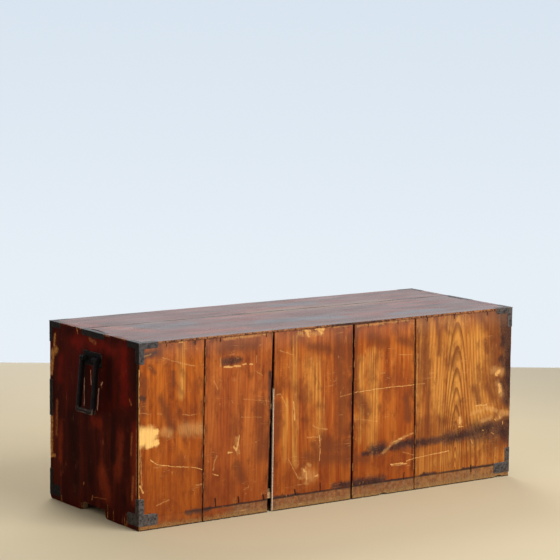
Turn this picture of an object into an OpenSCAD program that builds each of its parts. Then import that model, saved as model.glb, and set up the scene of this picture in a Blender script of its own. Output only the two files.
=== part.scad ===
// Low Japanese chest of drawers (tansu) in cedar, with forged iron corners,
// two full-width drawers at the front and a back of five upright boards.
// Millimetres. +Z is up, the drawers face -Y, and the origin is on the floor
// under the middle of the whole chest.

/* [Case] */
// Width of the case over the side panels
case_w = 1091; // [1000:1:1180]
// Depth of the case from the front edges to the back boards' outer faces
case_d = 405; // [370:1:450]
// Height of the case from the floor to the top planks
case_h = 430; // [410:1:470]
// Thickness of the top planks
top_t = 16; // [15:0.5:19]
// Thickness of the side panels
side_t = 18; // [16:0.5:22]
// Thickness of the bottom boards
bottom_t = 15; // [12:0.5:18]
// Height of the bottom boards above the floor
foot_h = 31; // [30:0.5:38]
// Thickness of the shelf board between the drawers
shelf_t = 12; // [10:0.5:14]
// Depth of the grooves in the side panels that hold shelf and bottom
dado_d = 6; // [4:0.5:9]
// Number of fingers and sockets in each top corner joint
fingers = 7; // [5:2:11]
// Width of the front top plank
top_front_w = 153; // [110:1:200]

/* [Front rails] */
// Height of the opening for the upper drawer
upper_bay_h = 159; // [140:1:180]
// Height of the middle rail
rail_h = 18; // [16:0.5:24]
// Depth of the middle rail, front to back
rail_d = 30; // [20:1:45]
// Length of the tongue that joins the shelf to the middle rail
tongue_l = 6; // [4:0.5:10]
// Thickness of that tongue
tongue_t = 4; // [3:0.5:6]
// Thickness of the skirt board under the front edge
skirt_t = 14; // [10:0.5:20]
// How far the skirt stands back from the front edges
skirt_back = 2; // [0:0.5:8]

/* [Side notch] */
// Length of the hand notch in the foot of each side panel
notch_l = 112; // [90:1:150]
// Height of the hand notch
notch_h = 20; // [14:0.5:24]
// Radius of the notch's upper corners
notch_r = 10; // [5:0.5:12]
// Radius of the flare where the notch meets the floor
flare_r = 6; // [3:0.5:10]
// Radius of the worn lower front corner of each side panel
toe_r = 9; // [4:0.5:14]

/* [Back boards] */
// Thickness of the back boards
back_t = 8; // [6:0.5:11]
// Thickness of the top's lip that covers the back boards' upper ends
lip_t = 5; // [3:0.5:7]
// Width of the first back board at its top, the one nearest the right side
board_1_w = 175; // [140:0.5:200]
// Width of the second board at its top
board_2_w = 188; // [160:0.5:220]
// Width of the third board at its top
board_3_w = 228.5; // [190:0.5:250]
// Width of the fourth board at its top
board_4_w = 183; // [150:0.5:210]
// Gap between the first and second boards
gap_1 = 1.5; // [0.5:0.1:3]
// Gap between the second and third boards at the top
gap_2 = 3; // [1:0.1:5]
// How much wider that gap is at the foot
gap_2_spread = 10.5; // [0:0.5:14]
// Gap between the third and fourth boards
gap_3 = 4; // [1:0.1:6]
// Gap between the fourth and fifth boards
gap_4 = 2; // [0.5:0.1:4]
// How far the first seam runs out of plumb towards the right side at the foot
seam_1_lean = 5; // [-8:0.5:8]
// How far the second seam does
seam_2_lean = 2.5; // [-8:0.5:8]
// How far the third seam does
seam_3_lean = 1; // [-8:0.5:8]
// How far the fourth seam does
seam_4_lean = -5; // [-8:0.5:8]

/* [Iron corners] */
// Thickness of the sheet iron
iron_t = 1.2; // [0.8:0.1:2]
// Width of the iron arms
iron_w = 14; // [10:0.5:14.5]
// Length of the arms along the edges of top, back and front
arm_l = 50; // [36:1:64]
// Height of the upright arms of the top corners
arm_h = 49; // [36:1:64]
// Width of the lower, broad arm of the bottom corners
foot_arm_w = 27; // [20:0.5:34]
// Height of the bottom corners
foot_iron_h = 63; // [50:1:80]
// Height of the bottom corners' lower edge above the floor
foot_iron_z = 11; // [6:0.5:14]
// Length of the straps over the top edges of the sides
strap_l = 100; // [70:1:140]
// Height of the straps over the front edges of the sides
front_strap_h = 87; // [60:1:110]
// Length of the clipped corners at the arm ends
clip = 2.5; // [1:0.5:4]

/* [Nails and pegs] */
// Radius of the nail heads on the irons
nail_head_r = 2.2; // [1.6:0.1:3]
// Height of those domed heads
nail_head_h = 0.9; // [0.5:0.1:1.4]
// Radius of the nail shanks
nail_r = 0.9; // [0.6:0.1:1.2]
// Length of the nails in the wood
nail_l = 7; // [5:0.5:7.5]
// Radius of the nails that hold the back boards
back_nail_r = 1.2; // [0.8:0.1:1.6]
// Length of the nails that hold the back boards
back_nail_l = 24; // [20:1:32]
// Radius of the wooden pegs in the drawer corners
peg_r = 1.6; // [1:0.1:2.2]
// Length of the wooden pegs
peg_l = 18; // [15:0.5:24]

/* [Carrying handles] */
// Outer width of the carrying bail
carry_w = 75; // [68:1:90]
// Drop of the bail from its pivot to its lower edge
carry_drop = 126; // [100:1:140]
// Thickness of the square bail bar
carry_bar = 11; // [9:0.5:11.5]
// Radius of the pivot pins at the bail's ends
carry_pin_r = 3.6; // [2.8:0.1:4]
// Distance of the pivot from the side panel, outwards
carry_out = 9.5; // [9.5:0.5:12]
// Distance of the pivot below the top of the case
carry_below_top = 64; // [54:1:90]
// Lean of the hanging bail, away from the side
carry_lean = 5; // [1:0.5:8]
// Width of the iron plate under the handle
plate_w = 84; // [76:1:100]
// Height of the iron plate
plate_h = 33; // [28:0.5:40]
// Thickness of the iron plate
plate_t = 1.6; // [1:0.1:2]

/* [Drawer pulls] */
// Outer width of the drawer bails
pull_w = 92; // [80:1:120]
// Drop of the drawer bails
pull_drop = 46; // [40:1:60]
// Thickness of the drawer bails' bar
pull_bar = 7; // [5:0.5:8]
// Radius of the pulls' pivot pins
pull_pin_r = 2.6; // [2:0.1:3]
// Distance of the pulls' pivots from the drawer front
pull_out = 8.5; // [7.5:0.5:11]
// Distance of each pull from the middle of the drawer
pull_x = 285; // [200:1:360]
// Height of the pulls' pivots above the middle of the drawer front
pull_rise = 12; // [0:1:20]
// Radius of the round washers behind the pulls
washer_r = 12; // [9:0.5:16]
// Thickness of the washers
washer_t = 1.4; // [1:0.1:2]

/* [Drawers] */
// Thickness of the drawer fronts
front_t = 20; // [17:0.5:24]
// Thickness of the drawer sides
drawer_side_t = 11; // [9:0.5:14]
// Thickness of the drawer backs
drawer_back_t = 11; // [9:0.5:14]
// Thickness of the drawer bottoms
drawer_bottom_t = 7; // [5:0.5:9]
// Thickness of the front's lip that covers the drawer sides' ends
front_lip = 8; // [5:0.5:11]
// Width of the planed arrises round the drawer fronts
front_arris = 1.2; // [0.5:0.1:3]
// Side clearance of each drawer in the case
side_gap = 0.8; // [0.4:0.1:1.5]
// Clearance above each drawer front
over_gap = 1.5; // [0.8:0.1:3]
// Clearance under each drawer
under_gap = 0.3; // [0.2:0.05:0.5]
// Clearance between each drawer and the back boards
rear_gap = 4; // [2:0.5:8]
// How far the drawer backs stay below the sides
back_drop = 8; // [4:0.5:20]
// Number of fingers and sockets in each rear drawer corner
drawer_fingers = 5; // [3:2:7]

/* [Hidden] */
$fn = 32;

// Colours of wood and iron
cedar_top = [0.33, 0.15, 0.11];
cedar_side = [0.25, 0.06, 0.03];
cedar_back = [0.62, 0.29, 0.09];
cedar_raw = [0.72, 0.52, 0.30];
cedar_front = [0.36, 0.13, 0.06];
iron = [0.10, 0.10, 0.11];
steel_nail = [0.16, 0.14, 0.13];

// A cut runs this far past the face that it opens
past = 1;
// Running clearance round pivot pins and beside bail legs
pin_gap = 0.3;
leg_gap = 0.5;
// Clearance of posts and nails in the holes that they pass
post_gap = 0.2;
nail_gap = 0.1;
// Radius of the posts' shanks, and reach, thickness and half width of their tips
post_r = 3;
tip_l = 13;
tip_t = 2;
tip_half_w = 2.7;
// Width of the split between the two halves of a post
post_split = 0.6;

// Bail fittings: outer radius of a leg's head, and of the eye round the pin
carry_head_r = carry_bar / 2 + 1.5;
carry_eye_r = carry_pin_r + 3.4;
carry_eye_w = 7;
pull_head_r = pull_bar / 2 + 1.1;
pull_eye_r = pull_pin_r + 2.8;
pull_eye_w = 5;
pin_past_eye = 2;

// The chest is centred front to back over everything that stands proud
front_proud = pull_out + max(pull_eye_r, pull_head_r);
back_proud = iron_t + nail_head_h;
y_back = (case_d + front_proud - back_proud) / 2;
y_front = y_back - case_d;
y_mid = (y_back + y_front) / 2;
y_inside = y_back - back_t;
y_top_seam = y_front + top_front_w;
x_out = case_w / 2;
x_in = x_out - side_t;
z_under_top = case_h - top_t;
bottom_top = foot_h + bottom_t;
carry_z = case_h - carry_below_top;
rail_top = z_under_top - upper_bay_h;
shelf_z = rail_top - shelf_t;
rail_bottom = rail_top - rail_h;
finger_w = (y_inside - y_front) / fingers;

// Drawer bays: floor and ceiling of the lower and the upper one
lower_bay = [bottom_top, rail_bottom];
upper_bay = [rail_top, z_under_top];
drawer_x = x_in - side_gap;
drawer_rear = y_inside - rear_gap;

// Back boards, measured from the right side: each row is a board's near edge at
// the top and at the foot, then its far edge at the top and at the foot
seam_1 = board_1_w;
seam_2 = seam_1 + gap_1 + board_2_w;
seam_3 = seam_2 + gap_2 + board_3_w;
seam_4 = seam_3 + gap_3 + board_4_w;
back_edges = [
    [0, 0, seam_1, seam_1 - seam_1_lean],
    [seam_1 + gap_1, seam_1 + gap_1 - seam_1_lean, seam_2, seam_2 - seam_2_lean - gap_2_spread],
    [seam_2 + gap_2, seam_2 + gap_2 - seam_2_lean, seam_3, seam_3 - seam_3_lean],
    [seam_3 + gap_3, seam_3 + gap_3 - seam_3_lean, seam_4, seam_4 - seam_4_lean],
    [seam_4 + gap_4, seam_4 + gap_4 - seam_4_lean, case_w, case_w]
];
back_top = case_h - lip_t;
shelf_mid = rail_top - shelf_t / 2;

// Chips out of the boards' lower edges: from and to, measured from the right side,
// and height
foot_chips = [[251, 258, 3], [680, 703, 4.5], [1044, 1067, 4]];
chip_slope = 1.5;

// A box between two opposite corners
module block(low, high) {
    translate(low) cube(high - low);
}

// Mirrors its children to the left side, or to the front, when side is -1
module facing_x(side) {
    mirror([side < 0 ? 1 : 0, 0, 0]) children();
}

module facing_y(side) {
    mirror([0, side < 0 ? 1 : 0, 0]) children();
}

// Case

// A top plank: its fingers reach over the side panels at the even places of the
// joint, and the irons' top leaves are let in flush
module top_board(y_low, y_high) {
    color(cedar_top) difference() {
        union() {
            block([-x_in, y_low, z_under_top], [x_in, min(y_high, y_inside), case_h]);
            if (y_high > y_inside)
                block([-x_out, y_inside - past, back_top], [x_out, y_back, case_h]);
            for (side = [-1, 1], place = [0 : 2 : fingers - 1])
                finger_block(side, max(y_low, y_front + place * finger_w),
                             min(y_high, y_inside, y_front + (place + 1) * finger_w));
        }
        top_leaf_seats();
    }
}

module finger_block(side, y_low, y_high) {
    if (y_high > y_low)
        facing_x(side) block([x_in - past, y_low, z_under_top], [x_out, y_high, case_h]);
}

// Outline of a side panel in depth and height, with its worn toe
module side_outline() {
    difference() {
        union() {
            translate([y_front, 0]) square([y_inside - y_front, z_under_top]);
            for (place = [1 : 2 : fingers - 2])
                translate([y_front + place * finger_w, z_under_top - past])
                    square([finger_w, top_t + past]);
        }
        translate([y_front, 0]) difference() {
            translate([-past, -past]) square(toe_r + past);
            translate([toe_r, toe_r]) circle(toe_r);
        }
        translate([y_mid, 0]) notch_outline();
    }
}

// The hand notch: rounded above, flared where it meets the floor
module notch_outline() {
    half = notch_l / 2;
    translate([-half, -past]) square([notch_l, notch_h - notch_r + past]);
    translate([-half + notch_r, 0]) square([notch_l - 2 * notch_r, notch_h]);
    for (end = [-1, 1]) {
        translate([end * (half - notch_r), notch_h - notch_r]) circle(notch_r);
        difference() {
            translate([end * (half + flare_r / 2), flare_r / 2 - past / 2])
                square([flare_r, flare_r + past], center = true);
            translate([end * (half + flare_r), flare_r]) circle(flare_r);
        }
    }
}

// The right side panel stands at +X, and the left one is its mirror image
module side_panel(side) {
    color(cedar_side) facing_x(side) difference() {
        translate([x_in, 0, 0]) rotate([90, 0, 90]) linear_extrude(side_t) side_outline();
        block([x_in - past, y_front - past, foot_h], [x_in + dado_d, y_inside + past, bottom_top]);
        block([x_in - past, y_front - past, shelf_z], [x_in + dado_d, y_inside + past, rail_top]);
        handle_place(1) post_holes(carry_eye_x, carry_out + side_t + past);
        handle_place(1) tip_seats();
        top_leaf_seats();
    }
}

module bottom_board(y_low, y_high) {
    color(cedar_raw)
        block([-x_in - dado_d, y_low, foot_h], [x_in + dado_d, y_high, bottom_top]);
}

// The shelf carries the upper drawer and joins the rail with a tongue
module shelf_board() {
    color(cedar_raw) union() {
        block([-x_in - dado_d, y_front + rail_d, shelf_z], [x_in + dado_d, y_inside, rail_top]);
        block([-x_in, y_front + rail_d - tongue_l, shelf_mid - tongue_t / 2],
              [x_in, y_front + rail_d + past, shelf_mid + tongue_t / 2]);
    }
}

module middle_rail() {
    color(cedar_front) difference() {
        union() {
            block([-x_in, y_front, rail_bottom], [x_in, y_front + rail_d, rail_top]);
            block([-x_in - dado_d, y_front, shelf_z], [x_in + dado_d, y_front + rail_d, rail_top]);
        }
        block([-x_in, y_front + rail_d - tongue_l, shelf_mid - tongue_t / 2],
              [x_in, y_front + rail_d + past, shelf_mid + tongue_t / 2]);
    }
}

module front_skirt() {
    color(cedar_front)
        block([-x_in, y_front + skirt_back, 0], [x_in, y_front + skirt_back + skirt_t, foot_h]);
}

// A back board is a plank sawn a little out of square, chipped at its foot
module back_board(number) {
    edge = back_edges[number - 1];
    color(cedar_back) translate([0, y_back, 0]) rotate([90, 0, 0]) linear_extrude(back_t)
        difference() {
            polygon([
                [x_out - edge[0], back_top], [x_out - edge[1], 0],
                [x_out - edge[3], 0], [x_out - edge[2], back_top]
            ]);
            for (chip = foot_chips) polygon([
                [x_out - chip[0], -past], [x_out - chip[0], 0],
                [x_out - chip[0] - chip[2] * chip_slope, chip[2]],
                [x_out - chip[1] + chip[2] * 0.5, chip[2] * 0.6],
                [x_out - chip[1], 0], [x_out - chip[1], -past]
            ]);
        }
}

// Sheet iron corners and straps
// A leaf is drawn on the flat: u runs along the edge of the case, v away from it.

// An L with clipped ends; fold is how far it runs past the corner in u and v
module ell(length, height, across, upright, fold) {
    polygon([
        [-fold[0], -fold[1]], [length - clip, -fold[1]], [length, clip - fold[1]],
        [length, across - clip], [length - clip, across], [upright, across],
        [upright, height - clip], [upright - clip, height], [-fold[0], height]
    ]);
}

// Nail places on that L: the end of each arm and the elbow
nail_inset = 7;

function ell_nails(length, height, across, upright) =
    [[length - nail_inset, across / 2], [upright / 2, height - nail_inset],
     [length / 2, across / 2]];

// Puts a flat leaf on the back, side or top face of an outer corner; a top
// leaf lies below the surface by its own thickness
module leaf_place(face) {
    if (face == "back") mirror([1, 0, 0]) rotate([-90, 0, 0]) children();
    if (face == "side") rotate([0, 0, -90]) rotate([-90, 0, 0]) children();
    if (face == "top") translate([0, 0, -iron_t]) rotate([0, 0, 180]) children();
}

// Puts its children at an outer corner of the case
module corner_place(side, end, z) {
    translate([side * x_out, end > 0 ? y_back : y_front, z])
        facing_x(side) facing_y(end) children();
}

top_faces = ["back", "side", "top"];

// A top corner's upright leaves fold at the corner, and its top leaf covers both
module top_leaf(face) {
    if (face == "top")
        ell(arm_l, arm_l, iron_w, iron_w, [iron_t, iron_t]);
    else
        ell(arm_l, arm_h, iron_w, iron_w, [iron_t, 0]);
}

function top_leaf_nails(face) = ell_nails(arm_l, face == "top" ? arm_l : arm_h, iron_w, iron_w);
foot_leaf_nails = ell_nails(arm_l, foot_iron_h, foot_arm_w, iron_w);

module top_corner_iron() {
    color(iron) difference() {
        for (face = top_faces)
            leaf_place(face) linear_extrude(iron_t) top_leaf(face);
        for (face = top_faces)
            leaf_place(face) nail_holes(top_leaf_nails(face));
    }
}

// The shallow seats in the wood for all top leaves
module top_leaf_seats() {
    for (side = [-1, 1]) {
        for (end = [-1, 1])
            corner_place(side, end, case_h) leaf_place("top")
                linear_extrude(iron_t + past) top_leaf("top");
        strap_place(side) strap_leaf("top") linear_extrude(iron_t + past) top_strap_leaf("top");
    }
}

// The bottom corners have two leaves, the broad arm below
module foot_corner_iron() {
    color(iron) mirror([0, 0, 1]) difference() {
        for (face = ["back", "side"])
            leaf_place(face) linear_extrude(iron_t)
                ell(arm_l, foot_iron_h, foot_arm_w, iron_w, [iron_t, 0]);
        for (face = ["back", "side"])
            leaf_place(face) nail_holes(foot_leaf_nails);
    }
}

module nail_holes(places) {
    for (place = places)
        translate([place[0], place[1], -past]) cylinder(r = nail_r + nail_gap, h = iron_t + 2 * past);
}

// A strap folded over the top edge at the middle of a side
top_strap_nails = [for (u = [-1, 0, 1]) [u * (strap_l / 2 - nail_inset), iron_w / 2]];

module top_strap_leaf(face) {
    fold = face == "top" ? iron_t : 0;
    polygon([
        [-strap_l / 2, -fold], [strap_l / 2, -fold], [strap_l / 2, iron_w - clip],
        [strap_l / 2 - clip, iron_w], [clip - strap_l / 2, iron_w], [-strap_l / 2, iron_w - clip]
    ]);
}

module top_strap(side) {
    color(iron) strap_place(side) difference() {
        for (face = ["side", "top"])
            strap_leaf(face) linear_extrude(iron_t) top_strap_leaf(face);
        for (face = ["side", "top"])
            strap_leaf(face) nail_holes(top_strap_nails);
    }
}

module strap_place(side) {
    translate([side * x_out, y_mid, case_h]) facing_x(side) children();
}

module strap_leaf(face) {
    if (face == "side") leaf_place("side") children();
    if (face == "top") translate([0, 0, -iron_t]) rotate([0, 0, 90]) children();
}

// A strap folded over the front edge where the middle rail meets the side;
// its front leaf has an arm along the rail
front_strap_z = rail_top - rail_h / 2;
front_arm_w = min(iron_w, rail_h - 2);
front_strap_nails = [for (end = [-1, 1]) [iron_w / 2, end * (front_strap_h / 2 - nail_inset)]];
front_arm_nails = concat(front_strap_nails, [[arm_l - nail_inset, 0], [arm_l / 2, 0]]);

module front_strap(side) {
    color(iron) front_strap_place(side) difference() {
        union() {
            for (face = ["back", "side"])
                leaf_place(face) linear_extrude(iron_t)
                    translate([-iron_t, -front_strap_h / 2])
                        square([iron_w + iron_t, front_strap_h]);
            leaf_place("back") linear_extrude(iron_t)
                polygon([
                    [0, -front_arm_w / 2], [arm_l - clip, -front_arm_w / 2],
                    [arm_l, clip - front_arm_w / 2], [arm_l, front_arm_w / 2 - clip],
                    [arm_l - clip, front_arm_w / 2], [0, front_arm_w / 2]
                ]);
        }
        leaf_place("side") nail_holes(front_strap_nails);
        leaf_place("back") nail_holes(front_arm_nails);
    }
}

module front_strap_place(side) {
    translate([side * x_out, y_front, front_strap_z]) facing_x(side) facing_y(-1) children();
}

// Nails

// Forged nails through a leaf of the given thickness, with low hammered heads, or
// filed flush where the leaf lies in the top
module iron_nails_at(places, under, headed) {
    shank = [[0, -nail_l], [nail_r, -nail_l], [nail_r, under]];
    head = [
        [nail_head_r, under], [nail_head_r * 0.8, under + nail_head_h * 0.65],
        [nail_head_r * 0.4, under + nail_head_h], [0, under + nail_head_h]
    ];
    for (place = places) translate([place[0], place[1], 0])
        rotate_extrude() polygon(concat(shank, headed ? head : [[0, under]]));
}

module iron_nails() {
    color(iron) {
        for (side = [-1, 1], end = [-1, 1]) {
            for (face = top_faces)
                corner_place(side, end, case_h) leaf_place(face)
                    iron_nails_at(top_leaf_nails(face), iron_t, face != "top");
            for (face = ["back", "side"])
                corner_place(side, end, foot_iron_z) mirror([0, 0, 1]) leaf_place(face)
                    iron_nails_at(foot_leaf_nails, iron_t, true);
        }
        for (side = [-1, 1]) {
            for (face = ["side", "top"])
                strap_place(side) strap_leaf(face)
                    iron_nails_at(top_strap_nails, iron_t, face != "top");
            front_strap_place(side) leaf_place("side")
                iron_nails_at(front_strap_nails, iron_t, true);
            front_strap_place(side) leaf_place("back")
                iron_nails_at(front_arm_nails, iron_t, true);
            handle_place(side) plate_face() iron_nails_at(plate_nails, plate_t, true);
        }
    }
}

// Back boards are nailed into the top and the bottom by their corners and middles,
// and the outer ones also into the side panels
back_nail_rows = [(back_top + z_under_top) / 2, foot_h + bottom_t / 2];
board_nail_inset = 30;
edge_nail_heights = [0.3, 0.65];

module back_nails() {
    color(steel_nail) {
        for (edge = back_edges, z = back_nail_rows, share = [0, 0.5, 1])
            back_nail(edge_at(edge, share, z), z);
        for (side = [0, 1], height = edge_nail_heights)
            back_nail(side * case_w + (1 - 2 * side) * side_t / 2, height * case_h);
    }
}

// Distance from the right side to a nail at a share of a board's width and a height
function edge_at(edge, share, z) =
    let (up = z / back_top,
         low = edge[1] + (edge[0] - edge[1]) * up + board_nail_inset,
         high = edge[3] + (edge[2] - edge[3]) * up - board_nail_inset)
    low + (high - low) * share;

module back_nail(from_side, z) {
    translate([x_out - from_side, y_back, z]) rotate([90, 0, 0])
        cylinder(r = back_nail_r, h = back_nail_l);
}

// Forged handles
// Drawn with the pivot along X at the origin, the bail hanging down and +Y outwards.

// A square bar's section with its arrises hammered off
module bar_section(bar) {
    arris = bar * 0.14;
    half = bar / 2;
    polygon([
        [arris - half, -half], [half - arris, -half], [half, arris - half], [half, half - arris],
        [half - arris, half], [arris - half, half], [-half, half - arris], [-half, arris - half]
    ]);
}

// A bail: two legs and a bottom bar with rounded outer corners, round heads at
// the top of the legs and pins turned inwards
module bail(width, drop, bar, pin_r, head_r, pin_l) {
    leg_x = (width - bar) / 2;
    intersection() {
        union() {
            for (end = [-1, 1])
                translate([end * leg_x, 0, -drop]) linear_extrude(drop) bar_section(bar);
            translate([-width / 2, 0, bar / 2 - drop]) rotate([0, 90, 0])
                linear_extrude(width) bar_section(bar);
        }
        rotate([90, 0, 0]) linear_extrude(2 * bar, center = true) bail_outline(width, drop, bar / 2);
    }
    for (end = [-1, 1]) facing_x(end) {
        translate([leg_x - bar / 2, 0, 0]) rotate([0, 90, 0]) cylinder(r = head_r, h = bar);
        translate([leg_x - bar / 2 - pin_l, 0, 0]) rotate([0, 90, 0])
            cylinder(r = pin_r, h = pin_l + bar / 2);
    }
}

// The outline that rounds the two lower corners
module bail_outline(width, drop, corner_r) {
    translate([-width / 2, corner_r - drop]) square([width, drop]);
    translate([corner_r - width / 2, -drop]) square([width - 2 * corner_r, drop]);
    for (end = [-1, 1])
        translate([end * (width / 2 - corner_r), corner_r - drop]) circle(corner_r);
}

// Split posts: an eye round the bail's pin, a shank through the wood, and its two
// halves bent up and down behind it; tip_y is the far side of the bent tips
module posts(eye_x, eye_r, eye_w, pin_r, tip_y) {
    for (end = [-1, 1]) translate([end * eye_x, 0, 0]) difference() {
        union() {
            rotate([0, 90, 0]) cylinder(r = eye_r, h = eye_w, center = true);
            translate([0, tip_y, 0]) rotate([-90, 0, 0]) cylinder(r = post_r, h = -tip_y - pin_r);
            block([-tip_half_w, tip_y, -tip_l], [tip_half_w, tip_y + tip_t, tip_l]);
        }
        rotate([0, 90, 0]) cylinder(r = pin_r + pin_gap, h = eye_w + 2 * past, center = true);
        block([-post_r - past, tip_y - past, -post_split / 2],
              [post_r + past, -eye_r, post_split / 2]);
    }
}

// The holes that the posts pass through the wood
module post_holes(eye_x, reach) {
    for (end = [-1, 1]) translate([end * eye_x, 0, 0])
        rotate([90, 0, 0]) cylinder(r = post_r + post_gap, h = reach);
}

// The seats in a side panel's inner face for the posts' bent tips
module tip_seats() {
    inner = -carry_out - side_t;
    for (end = [-1, 1]) translate([end * carry_eye_x, 0, 0])
        block([-tip_half_w - post_gap, inner - past, -tip_l - post_gap],
              [tip_half_w + post_gap, inner + tip_t + post_gap, tip_l + post_gap]);
}

// Middle of each eye from the middle of its bail
carry_eye_x = carry_w / 2 - carry_bar - leg_gap - carry_eye_w / 2;
pull_eye_x = pull_w / 2 - pull_bar - leg_gap - pull_eye_w / 2;

// Places a handle at the pivot on a side panel
module handle_place(side) {
    facing_x(side) translate([x_out + carry_out, y_mid, carry_z]) rotate([0, 0, -90]) children();
}

// The plate's own flat frame: its face outwards, behind the pivot
module plate_face() {
    translate([0, -carry_out, 0]) rotate([-90, 0, 0]) children();
}

plate_nail_inset = 5;
plate_nails = [for (u = [-1, 1], v = [-1, 1])
    [u * (plate_w / 2 - plate_nail_inset), v * (plate_h / 2 - plate_nail_inset)]];

module handle_plate(side) {
    half_w = plate_w / 2;
    half_h = plate_h / 2;
    color(iron) handle_place(side) difference() {
        plate_face() linear_extrude(plate_t) polygon([
            [clip - half_w, -half_h], [half_w - clip, -half_h], [half_w, clip - half_h],
            [half_w, half_h - clip], [half_w - clip, half_h], [clip - half_w, half_h],
            [-half_w, half_h - clip], [-half_w, clip - half_h]
        ]);
        post_holes(carry_eye_x, carry_out + past);
        plate_face() nail_holes(plate_nails);
    }
}

// These tips lie flush in the side panel, out of the drawers' way
module handle_posts(side) {
    color(iron) handle_place(side)
        posts(carry_eye_x, carry_eye_r, carry_eye_w, carry_pin_r, -carry_out - side_t);
}

module handle_bail(side) {
    color(iron) handle_place(side) rotate([carry_lean, 0, 0])
        bail(carry_w, carry_drop, carry_bar, carry_pin_r, carry_head_r,
             leg_gap + carry_eye_w + pin_past_eye);
}

// Drawers

// Floor, top and middle of a drawer in its bay
function drawer_low(bay) = bay[0] + under_gap;
function drawer_high(bay) = bay[1] - over_gap;
function drawer_mid(bay) = (drawer_low(bay) + drawer_high(bay)) / 2;

// A board whose front face has its arrises planed off
module planed_front(half_w, low, high) {
    rear = y_front + front_t;
    intersection() {
        translate([-half_w, 0, 0]) rotate([90, 0, 90]) linear_extrude(2 * half_w) polygon([
            [y_front, low + front_arris], [y_front + front_arris, low], [rear, low],
            [rear, high], [y_front + front_arris, high], [y_front, high - front_arris]
        ]);
        translate([0, 0, low]) linear_extrude(high - low) polygon([
            [front_arris - half_w, y_front], [half_w - front_arris, y_front],
            [half_w, y_front + front_arris], [half_w, rear],
            [-half_w, rear], [-half_w, y_front + front_arris]
        ]);
    }
}

module drawer_front(bay) {
    low = drawer_low(bay);
    high = drawer_high(bay);
    color(cedar_front) difference() {
        planed_front(drawer_x, low, high);
        for (side = [-1, 1])
            facing_x(side) block([drawer_x - drawer_side_t, y_front + front_lip, low - past],
                                 [drawer_x + past, y_front + front_t + past, high + past]);
        block([-drawer_x - past, y_front + front_lip, low - past],
              [drawer_x + past, y_front + front_t + past, low + drawer_bottom_t]);
        for (side = [-1, 1])
            pull_place(side, bay) post_holes(pull_eye_x, pull_out + front_t + past);
    }
}

// Rear corner joint: the sides have the even fingers, the back the odd ones
function rear_finger_h(bay) =
    (drawer_high(bay) - back_drop - drawer_low(bay) - drawer_bottom_t) / drawer_fingers;

module rear_sockets(bay, first) {
    base = drawer_low(bay) + drawer_bottom_t;
    for (place = [first : 2 : drawer_fingers - 1])
        block([drawer_x - drawer_side_t, drawer_rear - drawer_back_t,
               base + place * rear_finger_h(bay)],
              [drawer_x, drawer_rear, base + (place + 1) * rear_finger_h(bay)]);
}

module drawer_side(side, bay) {
    color(cedar_raw) facing_x(side) difference() {
        block([drawer_x - drawer_side_t, y_front + front_lip, drawer_low(bay) + drawer_bottom_t],
              [drawer_x, drawer_rear, drawer_high(bay)]);
        rear_sockets(bay, 1);
    }
}

module drawer_back(bay) {
    base = drawer_low(bay) + drawer_bottom_t;
    color(cedar_raw) union() {
        block([drawer_side_t - drawer_x, drawer_rear - drawer_back_t, base],
              [drawer_x - drawer_side_t, drawer_rear, drawer_high(bay) - back_drop]);
        for (side = [-1, 1]) facing_x(side) rear_sockets(bay, 1);
    }
}

module drawer_bottom(bay) {
    color(cedar_raw)
        block([-drawer_x, y_front + front_lip, drawer_low(bay)],
              [drawer_x, drawer_rear, drawer_low(bay) + drawer_bottom_t]);
}

// Wooden pegs hold the sides to the front, and the bottom to the sides
peg_shares = [0.22, 0.52, 0.82];

module drawer_pegs(bay) {
    low = drawer_low(bay);
    high = drawer_high(bay);
    peg_y = y_front + (front_lip + front_t) / 2;
    color(cedar_raw) for (side = [-1, 1]) facing_x(side) for (share = peg_shares) {
        translate([drawer_x, peg_y, low + share * (high - low)]) rotate([0, -90, 0])
            cylinder(r = peg_r, h = peg_l);
        translate([drawer_x - drawer_side_t / 2, peg_y + share * (drawer_rear - peg_y), low])
            cylinder(r = peg_r, h = peg_l);
    }
}

// Places a pull at its pivot on a drawer front
module pull_place(side, bay) {
    translate([side * pull_x, y_front - pull_out, drawer_mid(bay) + pull_rise])
        rotate([0, 0, 180]) children();
}

module pull_bail(side, bay) {
    color(iron) pull_place(side, bay)
        bail(pull_w, pull_drop, pull_bar, pull_pin_r, pull_head_r,
             leg_gap + pull_eye_w + pin_past_eye);
}

module pull_posts(bay) {
    color(iron) for (side = [-1, 1]) pull_place(side, bay)
        posts(pull_eye_x, pull_eye_r, pull_eye_w, pull_pin_r, -pull_out - front_t - tip_t);
}

// Round washers, dished a little towards the rim
module pull_washers(bay) {
    color(iron) for (side = [-1, 1], end = [-1, 1])
        pull_place(side, bay) translate([end * pull_eye_x, -pull_out, 0]) rotate([-90, 0, 0])
            rotate_extrude() polygon([
                [post_r + post_gap, 0], [washer_r, 0], [washer_r, washer_t * 0.5],
                [washer_r * 0.7, washer_t], [post_r + post_gap, washer_t]
            ]);
}

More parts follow.
